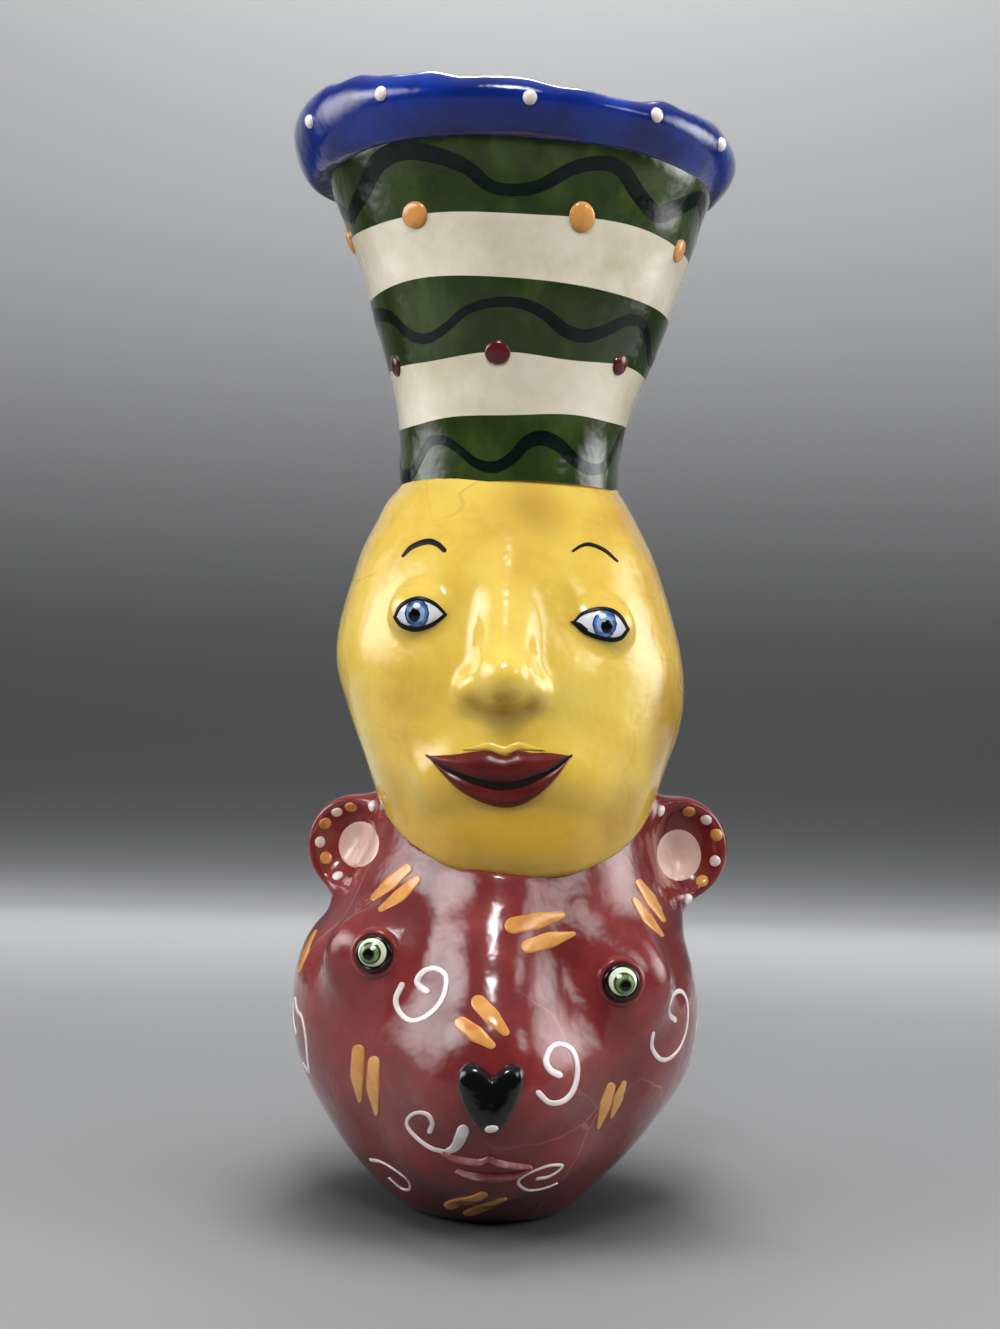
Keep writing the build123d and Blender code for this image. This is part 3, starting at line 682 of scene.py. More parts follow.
# Dark wavy lines on the green bands: photo pixels, then the same rhythm round the back
WAVES = [(12.5, [(351, 218), (363, 192), (378, 163), (401, 151), (431, 154), (466, 167), (490, 186), (516, 190), (542,
    185), (572, 169), (601, 163), (622, 170), (639, 195), (657, 214), (677, 208), (698, 199)]), (9.5, [(375, 315),
    (390, 317), (407, 333), (425, 339), (443, 330), (466, 311), (490, 303), (519, 303), (542, 312), (566, 331), (586,
    336), (607, 330), (630, 320), (644, 327), (649, 353)]), (11.0, [(404, 477), (412, 473), (420, 458), (429, 443),
    (443, 440), (457, 448), (476, 463), (495, 467), (512, 458), (526, 443), (542, 438), (559, 445), (575, 460), (590,
    469), (604, 467), (613, 453), (621, 434)])]
MEAN_R = 55.0
waves = Drawing()
for number, (width, pixels) in enumerate(WAVES):
    marks = rising(pixels)
    a, b = marks[0], marks[-1]
    low, high = min(m[1] for m in marks), max(m[1] for m in marks)
    middle, swing = (low + high) / 2, (high - low) / 2 * 0.9
    span = 360 + a[0] - b[0]
    cycles = max(2, round(span / 62))
    lead, tail = (asin(max(-1, min(1, (m[1] - middle) / swing))) for m in (b, a))
    if b[1] < marks[-2][1]:
        lead = pi - lead
    if marks[1][1] < a[1]:
        tail = pi - tail
    for t in np.linspace(0, 1, 40)[1:-1]:
        turn = lead + (tail - lead + 2 * pi * cycles) * t
        wob = 1 + 0.12 * sin(5 * t + number)
        marks.append((b[0] + span * t, middle + swing * wob * sin(turn)))
    marks.append((a[0] + 360, a[1]))
    line = smooth_curve([(m[0], m[1] * 100) for m in marks], 420)
    thick = width * 0.4 * (1 + 0.22 * np.sin(np.linspace(0, 23, 420) + number))
    grid = []
    unrolled = np.column_stack([np.radians(line[:, 0]) * MEAN_R, line[:, 1] / 100 * HAT_H])
    way = np.gradient(unrolled, axis=0)
    way /= np.linalg.norm(way, axis=1)[:, None]
    for k in (-1, -0.5, 0, 0.5, 1):
        q = unrolled + np.column_stack([-way[:, 1], way[:, 0]]) * (thick / 2 * k)[:, None]
        grid.append(hat_point(np.degrees(q[:, 0] / MEAN_R), q[:, 1] / HAT_H, 0.12))
    waves.grid(np.transpose(np.array(grid), (1, 0, 2)))
waves.finish("hat_waves", wave_ink, "hat_glaze")

# Domed dots where the bands meet
HAT_DOT_PIXELS = {"hat_orange_dots_glazed": (orange, "orange_slip", "hat_orange_dots", 4, (124, 176, 228, 276), [(415,
    215, 12.5, 14), (582, 217, 13, 16), (679, 251, 4.2, 4.4)]), "hat_maroon_dots_glazed": (maroon_slip, "maroon_slip",
    "hat_maroon_dots", 2, (111.4, 171.4, 231.4), [(396, 366, 4.0, 4.1), (497.5, 352.5, 13, 12.5), (620, 365, 3.9,
    4.0)]),}
for name, (material, slot_name, node, edge, others, pixels) in HAT_DOT_PIXELS.items():
    dots = Drawing()
    for x, y, rx, ry in pixels:
        # sizes over 5 are photo pixels of a dot seen square on, smaller ones are millimetres near the edge
        place = (on_hat.pixel, x, y) if rx > 5 else (on_hat.facing(x, y), 0, 0)
        dots.dot(*place, rx, ry, height=1.3, base=0.15)
    for bearing in others:
        k = int(((bearing + 180) % 360) / 360 * AROUND)
        centre = hat_point(np.array(float(bearing)), np.array(float(edges[edge][k])))
        dots.dot(on_hat.side(bearing, centre[2]), 0, 0, 4.4, 4.6, height=1.3, base=0.15)
    dots.finish(name, material, slot_name, (node,))

# ---- brim
BRIM_AT = np.array([0.0, 0.0, NECK_Z + HAT_H])
PROFILE = [(67.0, -1.0), (73.8, -1.4), (78.6, 3.4), (81.6, 8.4), (82.5, 12.4), (81.3, 16.6), (78.4, 19.4), (74.6,
    20.2), (71.0, 18.8), (68.2, 15.2), (66.6, 9.0), (66.4, 3.0), (67.0, -1.0)]
profile = smooth_curve(PROFILE, 40)[:-1]
TILT_COS, TILT_SIN = cos(HAT_TILT), sin(HAT_TILT)
tilt = np.array([[TILT_COS, 0, TILT_SIN], [0, 1, 0], [-TILT_SIN, 0, TILT_COS]])
# Height of the brim's top and of its lower edge above the plain profile, by bearing from the front
BRIM_TOP = [(-180, 0), (-130, 0), (-90, 0.8), (-64, 1.2), (-51, 1.2), (-43, 1.4), (-36, -0.4), (-25, 0.2), (-5, -1.4),
    (0, -2.5), (5, -3.8), (10, -3.5), (20, -3.2), (27, -3.4), (31, -2.6), (38, -0.8), (49, 1.1), (58, 2.2), (74, 3.0),
    (90, 2.6), (120, 0.8), (180, 0)]
BRIM_LOW = [(-180, 0), (-120, -0.4), (-90, -1.6), (-64, -1.8), (-51, -0.6), (-43, 0.3), (-36, 0.6), (-20, 1.0), (-8,
    1.6), (5, 1.2), (20, 2.2), (30, 2.8), (42, 2.6), (55, 2.2), (74, 2.2), (90, 1.6), (180, 0)]
around = np.arange(-60.0, 60.0)
bell = np.exp(-((around / 5.0) ** 2))


def uneven(table, bearing):
    """Reads a table of heights round the brim, softened over a few degrees."""
    b = (bearing + around + 180) % 360 - 180
    return float((np.interp(b, *np.transpose(table)) * bell).sum() / bell.sum())


brim_rows = []
lift = np.clip(profile[:, 1] / 20, 0, 1.1)
for bearing in bearings:
    b = radians(bearing)
    # slow rise and fall, uneven thickness, small ripples on top, and a lip that droops at the two sides
    swell = 1.3 * sin(2 * b + 2.4) + 0.9 * sin(3 * b - 0.6) + 0.5 * sin(7 * b + 1)
    fat = 0.5 * sin(3 * b + 1.2) + 0.4 * sin(5 * b)
    r = profile[:, 0] + (fat + 0.9) * lift - 0.4 + 2.4 * max(0.0, -sin(b)) ** 3
    ripple = 0.45 * sin(11 * b + 0.7) + 0.35 * sin(17 * b + 2.0) + 0.25 * sin(29 * b)
    z = profile[:, 1] + (swell + uneven(BRIM_TOP, bearing)) * lift**1.5 + ripple * lift**3
    z = z + uneven(BRIM_LOW, bearing) * (1 - lift).clip(0, 1) ** 1.5
    outer, under = np.clip((profile[:, 0] - 70) / 10, 0, 1), np.clip((14 - z) / 14, 0, 1)
    droop = (2.7 - 2.3 * sin(b)) * abs(sin(b)) ** 3 * outer * under
    brim_rows.append(np.column_stack([r * sin(b) - 1.5 * lift, -r * cos(b), z - droop]) @ tilt.T + BRIM_AT)
cols = len(profile)
brim_verts = np.array(brim_rows).reshape(-1, 3)
brim_faces = []
for i in range(AROUND):
    j = (i + 1) % AROUND
    for c in range(cols):
        d = (c + 1) % cols
        brim_faces.append((i * cols + c, j * cols + c, j * cols + d, i * cols + d))
make_piece("brim_glazed", brim_verts, brim_faces, blue, ("brim",))
on_brim = Projector(brim_verts, brim_faces)
brim_dots = Drawing()
places = [on_brim.facing(x, y) for x, y in ((310, 121.6), (380.9, 93.7), (530, 97.3), (656.7, 115), (721, 144.5))]
for bearing in (115, 152, 190, 231, 262):
    lean = 78 * sin(radians(bearing)) * sin(HAT_TILT)
    places.append(on_brim.side(bearing, BRIM_AT[2] + 14.0 - lean, 12))
for place in places:
    brim_dots.dot(place, 0, 0, 2.5, 2.5, height=1.7, base=0.1)
brim_dots.finish("brim_dots_glazed", white, "white_slip", ("brim_dots",))

# ---- painted face
face_px, bear_px = on_face.pixel, on_bear.pixel
brow = Drawing()
brow.stroke(face_px, [(403, 556), (412, 547), (427, 541.6), (437, 544), (444, 550)], (3.0, 5.4, 6.4, 5.2), height=0.1)
brow.stroke(face_px, [(573, 551), (581, 546), (590, 544.5), (604, 550), (617, 561)], (2.6, 4.0, 3.8, 2.6), height=0.1)

LEFT_EYE_TOP = [(395.5, 617), (402, 605), (418, 598.5), (433, 603), (445.5, 614.5)]
LEFT_EYE_LOW = [(395.5, 617), (402, 625), (415, 629), (431, 625), (445.5, 614.5)]
RIGHT_EYE_TOP = [(573.5, 622.5), (584, 613), (603, 609), (618, 614.5), (627.5, 629)]
RIGHT_EYE_LOW = [(573.5, 622.5), (586, 632.5), (606, 639), (620, 638), (627.5, 629)]


def clipped(top, low, x, y, rx, ry):
    """Upper and lower edges of a round iris cut off by the lids, in photo pixels."""
    top, low = smooth_curve(top, 80), smooth_curve(low, 80)
    xs = np.linspace(x - rx, x + rx, 17)
    arc = ry * np.sqrt(np.maximum(0, 1 - ((xs - x) / rx) ** 2))
    upper = np.maximum(y - arc, np.interp(xs, top[:, 0], top[:, 1]))
    lower = np.minimum(y + arc, np.interp(xs, low[:, 0], low[:, 1]))
    return np.column_stack([xs, upper]), np.column_stack([xs, lower])


for side, top, low, iris, pupil, glint in (
    ("left", LEFT_EYE_TOP, LEFT_EYE_LOW, (417.0, 613.5, 12.2, 15.0), (414.5, 615.0, 6.6, 7.6), (417.0, 606.0)),
    ("right", RIGHT_EYE_TOP, RIGHT_EYE_LOW, (604.5, 624.0, 12.2, 14.8), (606.5, 626.5, 6.4, 7.2), (602.5, 616.5)),
):
    eye = Drawing()
    eye.patch(face_px, top, low, lambda u, v: 0.1 * sin(pi * v), base=0.22, n=24, m=8)
    eye.finish(f"face_eye_{side}_white", eye_white, "eye_glaze", (f"face_eye_{side}",))
    x, y, rx, ry = iris
    for name, material, size, height in (("iris_edge", iris_dark, 1.0, 0.36), ("iris", iris_blue, 0.86, 0.42),
                                         ("iris_inner", iris_light, 0.66, 0.48)):
        ring = Drawing()
        ring.patch(face_px, *clipped(top, low, x, y, rx * size, ry * size), lambda u, v: 0.0, base=height,
                   n=17, m=7, sink=0.12)
        ring.finish(f"face_{name}_{side}", material, "eye_glaze")
    for name, material, (px, py, sx, sy), height in (("pupil", black, pupil, 0.52),
                                                     ("glint", shine, (*glint, 3.6, 3.0), 0.75)):
        disc = Drawing()
        disc.dot(face_px, px, py, sx, sy, height=0.04, base=height, rings=3)
        disc.finish(f"face_{name}_{side}", material, "eye_glaze")
    brow.stroke(face_px, top, (2.6, 3.4, 3.6, 3.4, 3.0), height=0.12, base=0.45)
    brow.stroke(face_px, low, (3.2, 4.6, 4.6, 4.2, 3.2), height=0.12, base=0.45)
brow.stroke(face_px, [(571.5, 622), (578, 625), (586, 630)], (2, 6.5, 4), height=0.12, base=0.5)

CORNER_L, CORNER_R = (427.5, 755.7), (571, 755.7)
LIP_TOP = [CORNER_L, (453.3, 754.3), (475, 751.5), (489, 750.5), (504.5, 755.5), (518, 750.5), (532, 752.8), (550,
    752.7), CORNER_R]
PARTING = [CORNER_L, (438, 763), (453.3, 771.7), (476.7, 780.7), (502, 785), (526.7, 780.7), (550, 770.5), (561, 763),
    CORNER_R]
LIP_LOW = [CORNER_L, (440, 771.7), (458.3, 790), (480, 802.3), (502, 808), (523.3, 805), (543.3, 791.7), (560, 773.3),
    CORNER_R]


def lip_bulge(height, across):
    """Bulge of a lip that is full in the middle of its length; across shapes it from edge to edge."""
    return lambda u, v: height * sin(pi * min(max(u, 0.0), 1.0)) ** 0.7 * across(v)


upper_lip, lower_lip = Drawing(), Drawing()
upper_lip.patch(face_px, LIP_TOP, PARTING,
                lip_bulge(2.2, lambda v: sin(pi * min(1.0, v * 0.93 + 0.05)) ** 1.1), n=48, m=11)
lower_lip.patch(face_px, PARTING, LIP_LOW, lip_bulge(1.8, lambda v: sin(pi * v**1.35) ** 1.3), n=48, m=11)
upper_lip.finish("upper_lip_glazed", lip_red, "lip_glaze", ("face_upper_lip",))
lower_lip.finish("lower_lip_glazed", lip_red, "lip_glaze", ("face_lower_lip",))
brow.stroke(face_px, PARTING, (2.0, 4.0, 7.0, 9.5, 7.5, 4.4, 2.0), height=0.12, base=0.6)
brow.finish("black_lines", black_line, "nose_glaze")
rim = Drawing()
rim.stroke(face_px, [(464, 749.5), (472, 748.5), (481, 747.2), (490, 746), (504, 750.5), (518, 746), (527, 747.5),
                     (544, 750)], (2, 6, 9, 9, 9, 6, 2), height=0.8, base=-0.15)
rim.finish("upper_lip_rim", yellow, "face_glaze")

# ---- bear: nose, eyes, mouth
HEART = [(492.5, 1077.5), (486, 1071), (480, 1066.5), (473.7, 1063.0), (466, 1064.5), (460, 1070), (457, 1078), (457,
    1086), (459.5, 1096), (463, 1106), (468, 1115.5), (473.5, 1123.5), (481, 1131), (488, 1134), (495, 1133.5), (501,
    1129), (507, 1122), (513, 1112), (518, 1101), (522.5, 1088), (524.5, 1078), (523, 1070), (517, 1065), (510, 1064),
    (503, 1068)]
heart_outline = smooth_curve(HEART + HEART[:1], 73)[:-1]
middle_px = np.array([491.0, 1096.0])
seat = bear_px(*middle_px)[0]
NOSE_TILT = radians(8)
out = np.array([0.0, -cos(NOSE_TILT), sin(NOSE_TILT)])
# The nose pad in rings: share of the outline's size, and height over the muzzle
NOSE_RINGS = [(0.0, 5.0), (0.3, 4.9), (0.55, 4.7), (0.75, 4.3), (0.88, 3.6), (0.96, 2.6), (1.0, 1.2), (1.0, -6.0)]
heart_verts = []
for share, height in NOSE_RINGS:
    for x, y in middle_px + (heart_outline - middle_px) * share:
        way = pixel_way(x, y)
        on_plane = CAMERA_AT + way * (((seat + out * 2.0 - CAMERA_AT) @ out) / (way @ out))
        heart_verts.append(on_plane + out * (height - 2.0))
heart_faces = strip_faces(len(NOSE_RINGS), len(heart_outline), 0, closed=True)
make_piece("bear_nose_glazed", heart_verts, heart_faces, black, ("bear_nose",))
chip = Drawing()
chip.dot(Projector(heart_verts, heart_faces).pixel, 491.5, 1129.0, 7.0, 3.6, height=0.15, base=0.15, turn=-0.15)
chip.finish("bear_nose_chip", white, "white_slip")

ROUND = 40
CIRCLE = np.linspace(0, 2 * pi, ROUND, endpoint=False)
COLLAR_RINGS = [(9.2, -1.5), (8.4, 0.5), (7.4, 1.3), (6.3, 0.9), (5.8, -0.5)]
EYE_RINGS = [(6.7, -2.0), (6.6, 1.6), (6.2, 2.7), (5.5, 3.2), (5.0, 3.1), (4.7, 1.0)]
# Bead: radius of each ring, and the paint inside it
BEAD_RINGS = [(0.0, 0), (0.8, 0), (1.4, 0), (1.75, 0), (2.2, 2), (2.7, 1), (3.2, 1), (3.5, 2), (3.8, 2), (4.2, 3),
    (4.7, 3), (4.95, 3)]
BEAD_R = BEAD_RINGS[-1][0]


def rings_of(name, rings, materials, nodes=(), paint=None):
    """A round piece from rings of (centre, radius), all square to the eye's own axis; returns its surface."""
    verts = [centre + (right * cos(a) + up * sin(a)) * r for centre, r in rings for a in CIRCLE]
    faces = strip_faces(len(rings), ROUND, 0, closed=True)
    make_piece(name, verts, faces, materials, nodes, paint)
    return Projector(verts, faces)


# Bead eyes: side, photo pixel of the middle, and how the bead (over, rise) and its pupil (look) are shifted in mm
for side, (x, y), (over, rise), (look_x, look_y) in (("left", (374.5, 953.5), (-0.3, 0.5), (-1.2, -0.7)),
                                                      ("right", (620.5, 982), (0.2, 0.4), (0.7, -1.5))):
    at = bear_px(x, y)[0]
    spots = [bear_px(x + 13 * cos(a), y + 13 * sin(a))[0] for a in np.linspace(0, 5.5, 8)]
    out = unit(np.cross(spots[2] - spots[0], spots[4] - spots[0]))
    out = unit((-out if out[1] > 0 else out) * 0.8 + np.array([0, -0.35, 0]))
    at = at + out * np.mean([(s - at) @ out for s in spots]) * 0.5
    up = unit(np.array([0, 0, 1.0]) - out * out[2])
    right = np.cross(up, out)
    rings_of(f"bear_eye_collar_{side}_glazed", [(at + out * h, r) for r, h in COLLAR_RINGS], maroon)
    rings_of(f"bear_eye_ring_{side}_glazed", [(at + out * h, r) for r, h in EYE_RINGS], black,
             (f"bear_eye_ring_{side}",))
    bead = []
    for r, _ in BEAD_RINGS:
        dome = 1 - (r / BEAD_R) ** 2
        bead.append((at + right * (over + look_x * dome) + up * (rise + look_y * dome) + out * (3.1 + 2.1 * dome), r))
    on_bead = rings_of(f"bear_eye_bead_{side}_glazed", bead, [black, bead_green, bead_deep, bead_rim, black],
                       (f"bear_eye_bead_{side}",), [p for _, p in BEAD_RINGS[1:] for _ in CIRCLE])
    glint = Drawing()
    glint.dot(on_bead.pixel, x - 1.5, y - 5.5, 3.6, 2.6, height=0.05, base=0.1, rings=2, turn=-0.4)
    glint.finish(f"bear_eye_glint_{side}", shine, "bead_glaze")

# the bear's mouth ridges are raised, in a paler glaze that paints their highlight
mouth = Drawing()
mouth.stroke(bear_px, [(444, 1152), (455, 1158), (472, 1161.5), (482, 1161), (489, 1158), (498, 1162),
                             (514, 1165.5), (530, 1166)], (3, 6, 6, 4.5, 6, 6, 3), height=1.5, base=0.0)
mouth.finish("bear_upper_lip_glazed", mouth_ridge_painted_highlight, "bear_glaze", ("bear_upper_lip",))
mouth = Drawing()
mouth.stroke(bear_px, [(458, 1170), (468, 1174), (484, 1177), (500, 1177.5), (515, 1175), (529, 1168)],
             (3, 6, 7, 6, 3), height=1.6, base=0.0)
mouth.finish("bear_lower_lip_glazed", mouth_ridge_painted_highlight, "bear_glaze", ("bear_lower_lip",))

# ---- bear: slip decoration
CURLS = [([(426, 991), (419.5, 986), (417.5, 980), (424, 971.5), (435, 968.5), (444, 973), (446.5, 982), (443, 997),
    (434, 1010), (421, 1019), (409, 1020), (399, 1011), (396, 999), (402, 985)], 7.5), ([(559, 1075), (550, 1070),
    (546, 1060), (551, 1048), (560, 1044), (571, 1049), (577, 1062), (576.5, 1080), (571, 1094), (561, 1102), (549,
    1102.5), (538.5, 1093)], 7.5), ([(675, 1020), (669, 1013), (671, 1002), (679, 991), (686, 998), (688, 1013), (686,
    1031), (680, 1047), (670, 1058), (660, 1059), (652, 1048), (653, 1034)], 6.5), ([(430, 1131), (432.5, 1123), (428,
    1115), (419, 1112.5), (410, 1116), (407, 1125), (415, 1136), (430, 1147.5), (445, 1152)], 5.5), ([(371, 1160),
    (381, 1162), (395, 1170), (407.5, 1180), (410, 1188.7), (402.5, 1189), (390, 1178.7)], 4.8), ([(537.5, 1178.7),
    (550, 1176), (562.5, 1166), (547.5, 1166), (527.5, 1173.7), (518, 1182.5), (527.5, 1190), (542.5, 1188.7), (556,
    1183.7)], 4.4)]
curls = Drawing()
for points, width in CURLS:
    x, y = np.mean(points, axis=0)
    thick = np.array([0.95, 0.72, 0.66, 0.7, 0.8]) * width
    if 330 < x < 660 and y < 1150:
        curls.stroke(bear_px, points, thick, height=0.2, step=2.0)
    else:
        curls.stroke(*on_bear.turned(x, y, points), thick * 0.37, height=0.22, step=0.8)
cast, line = on_bear.turned(303, 1040, [(297, 1010), (302, 1018), (306, 1040), (308, 1062)])
(u0, v0), (u1, v1) = line[0], line[-1]
line = [(u0 - 5, v0 + 9), (u0 - 9, v0 + 5), (u0 - 8, v0 - 1), (u0 - 4, v0 - 3)] + line
curls.stroke(cast, line + [(u1 - 3, v1 + 4), (u1 - 9, v1 + 3)], (2.6, 2.0, 1.8, 2.0, 2.2), height=0.22, step=0.8)
curls.stroke(bear_px, [(445, 1152), (454, 1148), (459, 1141), (463, 1131)], (4.5, 9, 12.5, 12.5), height=0.22)

STROKES = [([(407, 869), (388, 885), (373, 898)], (11, 13, 6)), ([(416, 880), (399, 896), (381, 909)], (10, 13, 6)),
    ([(513, 925.5), (532, 922), (561, 915.5)], (17, 17, 8)), ([(528, 946.5), (550, 940), (573, 934)], (14, 17, 5)),
    ([(639, 883), (651, 900), (663.5, 920)], (8, 12, 5)), ([(635, 900), (646, 916), (662, 935)], (7, 11, 4)),
    ([(358.5, 1051), (357.5, 1075), (360, 1100)], (13, 14, 5)), ([(374, 1062), (373, 1085), (376.5, 1113)], (12, 14,
    5)), ([(611, 1087), (605, 1105), (598, 1127)], (9, 12, 4)), ([(624, 1083), (618.5, 1097), (611, 1116)], (5, 10,
    4)), ([(479, 1003), (492, 1017), (505, 1032)], (16, 17, 9)), ([(462, 1024), (476, 1034), (491, 1045)], (15, 17,
    9))]
strokes = Drawing()
for points, widths in STROKES:
    strokes.stroke(bear_px, points, widths, height=0.25)
cast, line = on_bear.turned(305, 952, [(311, 937), (304.5, 951), (300, 965)])
for over, broad in ((1.5, 1.9), (-26.0, 1.2)):
    strokes.stroke(cast, [(u + over, v) for u, v in line], [w * broad for w in (3.4, 5.6, 3.2)], height=0.4,
                   step=0.9)
for line in ([(450, 1206), (466, 1200.5), (483, 1194)], [(469, 1213), (485, 1206.5), (502, 1199)]):
    strokes.stroke(*on_bear.turned(476, 1203, line), (4.4, 6.2, 3.6), height=0.3, step=0.9, base=0.35)

# The unseen sides carry the same curls and paired strokes
CURL_MM = np.array([(1.6, -1.4), (-0.8, -3.6), (-0.4, -6.8), (3.4, -8.6), (7.2, -6.6), (8.2, -1.6), (6.4, 4.6), (1.6,
    9.0), (-3.6, 8.6), (-5.6, 4.0)])


def round_the_side(bearing, height, spin, points, flip=1):
    """A projector at a bearing and height on the bear, and local points spun by an angle for it."""
    c, s = cos(radians(spin)), sin(radians(spin))
    cast = on_bear.side(bearing, height, -22 if height < 60 else 12 * (height > 105))
    return cast, [(flip * (x * c - y * s), x * s + y * c) for x, y in points]


for bearing, height, spin, flip in (
    (86, 62, 10, 1), (118, 92, -30, -1), (128, 50, 25, 1), (152, 108, 0, 1), (163, 68, -20, -1), (188, 90, 30, 1),
    (196, 42, 0, -1), (220, 112, -15, -1), (228, 70, 15, 1), (246, 92, -25, -1), (262, 60, 20, 1),
):
    curls.stroke(*round_the_side(bearing, height, spin, CURL_MM, flip), (2.7, 2.1, 1.9, 2.1, 2.4), height=0.24,
                 step=0.8)
for bearing, height, spin in (
    (98, 40, 70), (104, 82, 20), (136, 72, 80), (146, 122, 10), (176, 120, -30), (176, 34, 60), (208, 66, 100),
    (208, 122, 0), (236, 44, 40),
):
    for off in (-2.9, 2.9):
        line = [(along + off * 0.4, off * share) for along, share in ((-9, 1.0), (1, 1.05), (9, 0.9))]
        strokes.stroke(*round_the_side(bearing, height, spin, line), (3.4, 4.4, 1.8), height=0.25, step=0.9)

ear_pads = Drawing()
ear_pads.dot(bear_px, 359.0, 844.5, 20.5, 23.5, height=0.3, base=0.15, turn=0.25)
ear_pads.dot(bear_px, 679.0, 855.0, 22.5, 26.0, height=0.3, base=0.15, turn=-0.1)
ear_pads.finish("ear_pads_glazed", pink, "bear_glaze")
for x, y in ((372, 806), (337, 812), (320, 842), (338, 876), (661, 811), (706, 820), (715, 861), (688, 900)):
    curls.dot(on_bear.facing(x, y), 0, 0, 2.2, height=0.8)
for x, y in ((351, 807), (325, 823.5), (326, 858), (689, 811.5), (716, 835), (702, 881)):
    strokes.dot(on_bear.facing(x, y), 0, 0, 2.5, height=0.6)
curls.finish("white_curls", white, "white_slip")
strokes.finish("orange_strokes", orange, "orange_slip")

# ---- studio
# Painted light and shade on the backdrop: its grey by share of the way from its front edge over the floor to its top
BACKDROP_PAINTED_LIGHT = [(0.0, 0.13), (0.23, 0.17), (0.30, 0.235), (0.38, 0.185), (0.45, 0.22), (0.505, 0.36), (0.55, 0.47), (0.58,
    0.26), (0.60, 0.085), (0.625, 0.036), (0.66, 0.045), (0.70, 0.12), (0.74, 0.24), (0.78, 0.33), (0.83, 0.39), (1.0,
    0.6)]
BEND, FAR, NEAR, TOP, WIDE = 0.24, 1.1, -1.3, 1.5, 1.7


def backdrop():
    """A plain sheet that runs back over the floor and curves up behind, its grey changing softly along the way as
    painted light and shade.
    """
    path = [(NEAR + (FAR - BEND - NEAR) * t, 0.0) for t in np.linspace(0, 1, 12)]
    path += [(FAR - BEND + BEND * sin(a), BEND - BEND * cos(a)) for a in np.linspace(0, pi / 2, 17)[1:]]
    path += [(FAR, BEND + (TOP - BEND) * t) for t in np.linspace(0, 1, 8)[1:]]
    run = np.concatenate([[0], np.cumsum(np.hypot(*np.diff(path, axis=0).T))])
    n = len(path)
    mesh = bpy.data.meshes.new("studio_backdrop")
    mesh.from_pydata([(side * WIDE, y, z - 0.0001) for side in (-1, 1) for y, z in path], [],
                     [(k, n + k, n + k + 1, k + 1) for k in range(n - 1)])
    along = mesh.attributes.new("along", "FLOAT", "POINT")
    along.data.foreach_set("value", np.tile(run / run[-1], 2).astype(np.float32))
    mesh.polygons.foreach_set("use_smooth", [True] * (n - 1))
    material = bpy.data.materials.new("studio_grey")
    material.use_nodes = True
    net = Net(material.node_tree)
    share = net.add("Attribute", "Fac", attribute_name="along")
    grey = net.ramp(share, [(at, (v, v * 1.01, v * 1.03)) for at, v in BACKDROP_PAINTED_LIGHT], "B_SPLINE")
    # painted shadow: darker where the foot stands, as under the vase
    apart = net.add("VectorMath", "Value", {0: net.add("TexCoord", "Object")}, operation="LENGTH")
    painted_foot_shadow = net.add("MapRange", "Result", {"Value": apart, "From Min": 0.03, "From Max": 0.12, "To Min": 0.2},
                  interpolation_type="SMOOTHSTEP")
    grey = net.add("VectorMath", 0, {0: grey, "Scale": painted_foot_shadow}, operation="SCALE")
    net.feed(net.tree.nodes["Principled BSDF"], {"Base Color": grey, "Roughness": 0.9})
    mesh.materials.append(material)
    piece = bpy.data.objects.new("studio_backdrop", mesh)
    bpy.context.scene.collection.objects.link(piece)


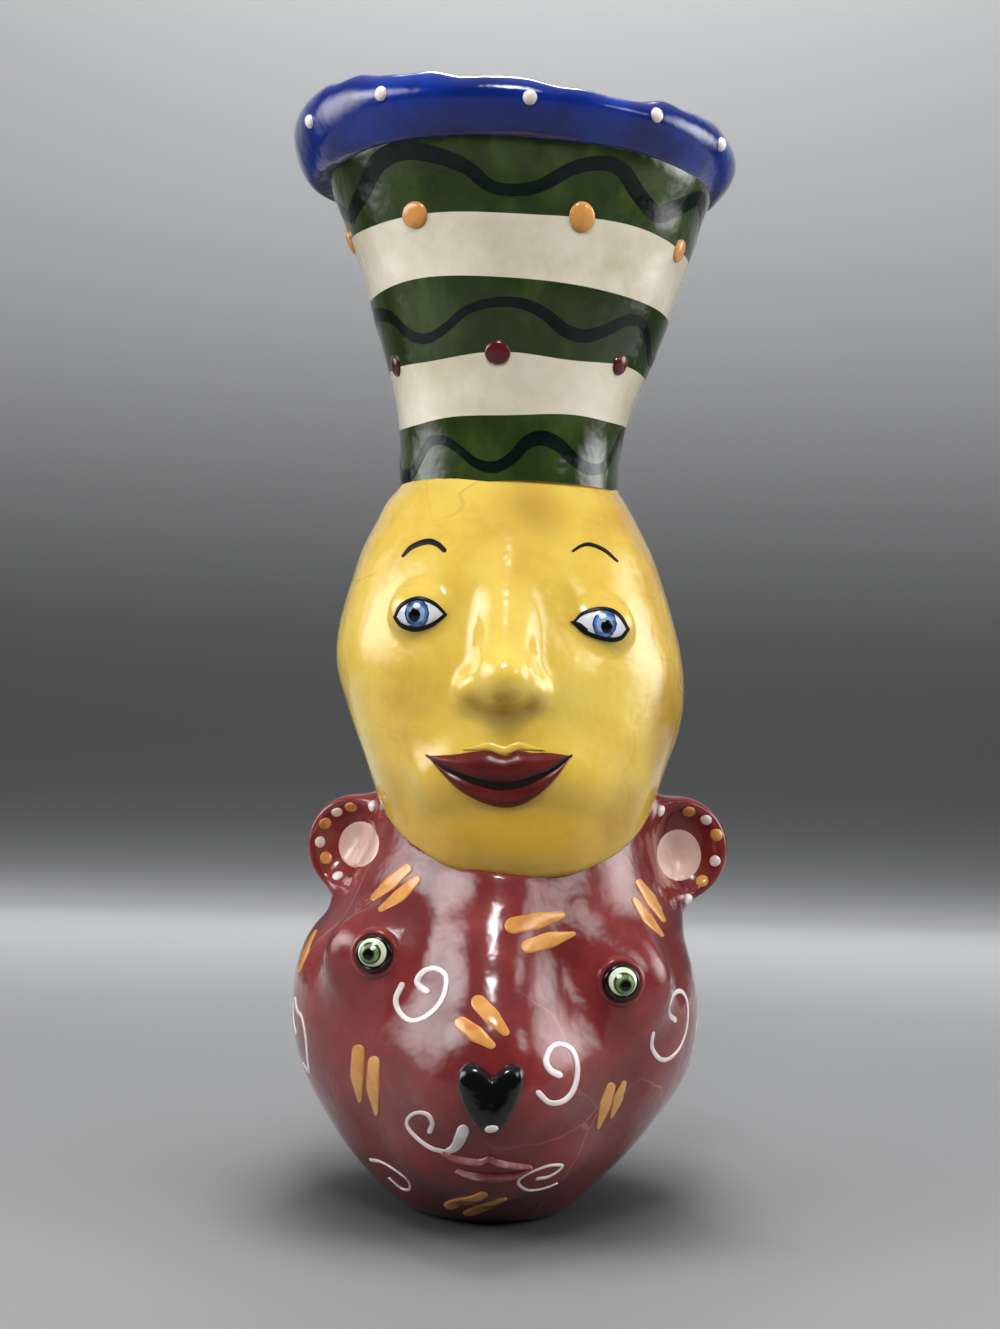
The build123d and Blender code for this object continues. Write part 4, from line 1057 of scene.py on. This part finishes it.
def lamp(name, at, aim, size, watts, glossy=True, core=0.0):
    """A round soft lamp, brightest in the middle and fading out to its edge."""
    data = bpy.data.lights.new(name, "AREA")
    data.shape = "ELLIPSE"
    data.size, data.size_y = size
    data.energy = watts
    data.use_nodes = True
    net = Net(data.node_tree)
    place = net.add("NewGeometry", "Parametric")
    apart = net.add("VectorMath", "Value", {0: place, 1: (0.5, 0.5, 0.0)}, operation="DISTANCE")
    fades = [net.add("MapRange", "Result", {"Value": apart, "From Max": reach, "To Min": value, "To Max": 0.0},
                     interpolation_type="SMOOTHERSTEP") for reach, value in ((0.5, 2.0), (0.16, core))]
    net.feed(net.tree.nodes["Emission"], {"Strength": net.add("Math", 0, dict(enumerate(fades)), operation="ADD")})
    light = bpy.data.objects.new(name, data)
    light.location = Vector(at)
    light.rotation_euler = (Vector(aim) - Vector(at)).to_track_quat("-Z", "Y").to_euler()
    light.visible_glossy = glossy
    bpy.context.scene.collection.objects.link(light)


backdrop()
lamp("soft_key", (-0.05, -0.62, 0.84), (-0.01, -0.05, 0.2), (0.45, 0.36), 5.6, core=4.0)
lamp("overhead", (0.0, -0.1, 1.6), (0, 0, 0), (0.8, 0.8), 16, glossy=False)
lamp("left_window", (-1.0, -0.38, 0.64), (0, -0.03, 0.13), (1.2, 0.8), 8)
lamp("left_fill", (-0.9, -0.6, 0.6), (0, 0, 0.15), (0.5, 0.5), 2, glossy=False)
lamp("right_window", (0.75, -0.55, 0.62), (0, -0.03, 0.13), (0.6, 0.6), 2.2)
lamp("right_fill", (1.2, -0.4, 0.7), (0, 0, 0.22), (0.8, 0.8), 9, glossy=False)
lamp("left_side", (-1.5, 0.1, 0.6), (0, 0, 0.2), (1.8, 1.6), 16)
lamp("right_side", (1.5, 0.2, 0.6), (0, 0, 0.2), (1.8, 1.6), 20)
lamp("back_top", (0.0, 0.55, 1.4), (0, 0.1, 0.3), (0.9, 0.5), 12)
lamp("wall_wash", (0.0, 0.6, 1.5), (0, 1.1, 0.9), (1.6, 0.3), 7, glossy=False)

world = bpy.data.worlds.new("studio_world")
world.use_nodes = True
sky = Net(world.node_tree)
height = sky.add("SeparateXYZ", "Z", {0: sky.add("TexCoord", "Generated")})
height = sky.add("MapRange", "Result", {"Value": height, "From Min": -0.4})
shade = sky.ramp(height, [(0.0, (0.05, 0.05, 0.05)), (0.62, (0.05, 0.05, 0.053)), (1.0, (0.5, 0.51, 0.53))])
sky.feed(world.node_tree.nodes["Background"], {0: shade})
bpy.context.scene.world = world
bpy.context.scene.view_settings.view_transform = "Standard"
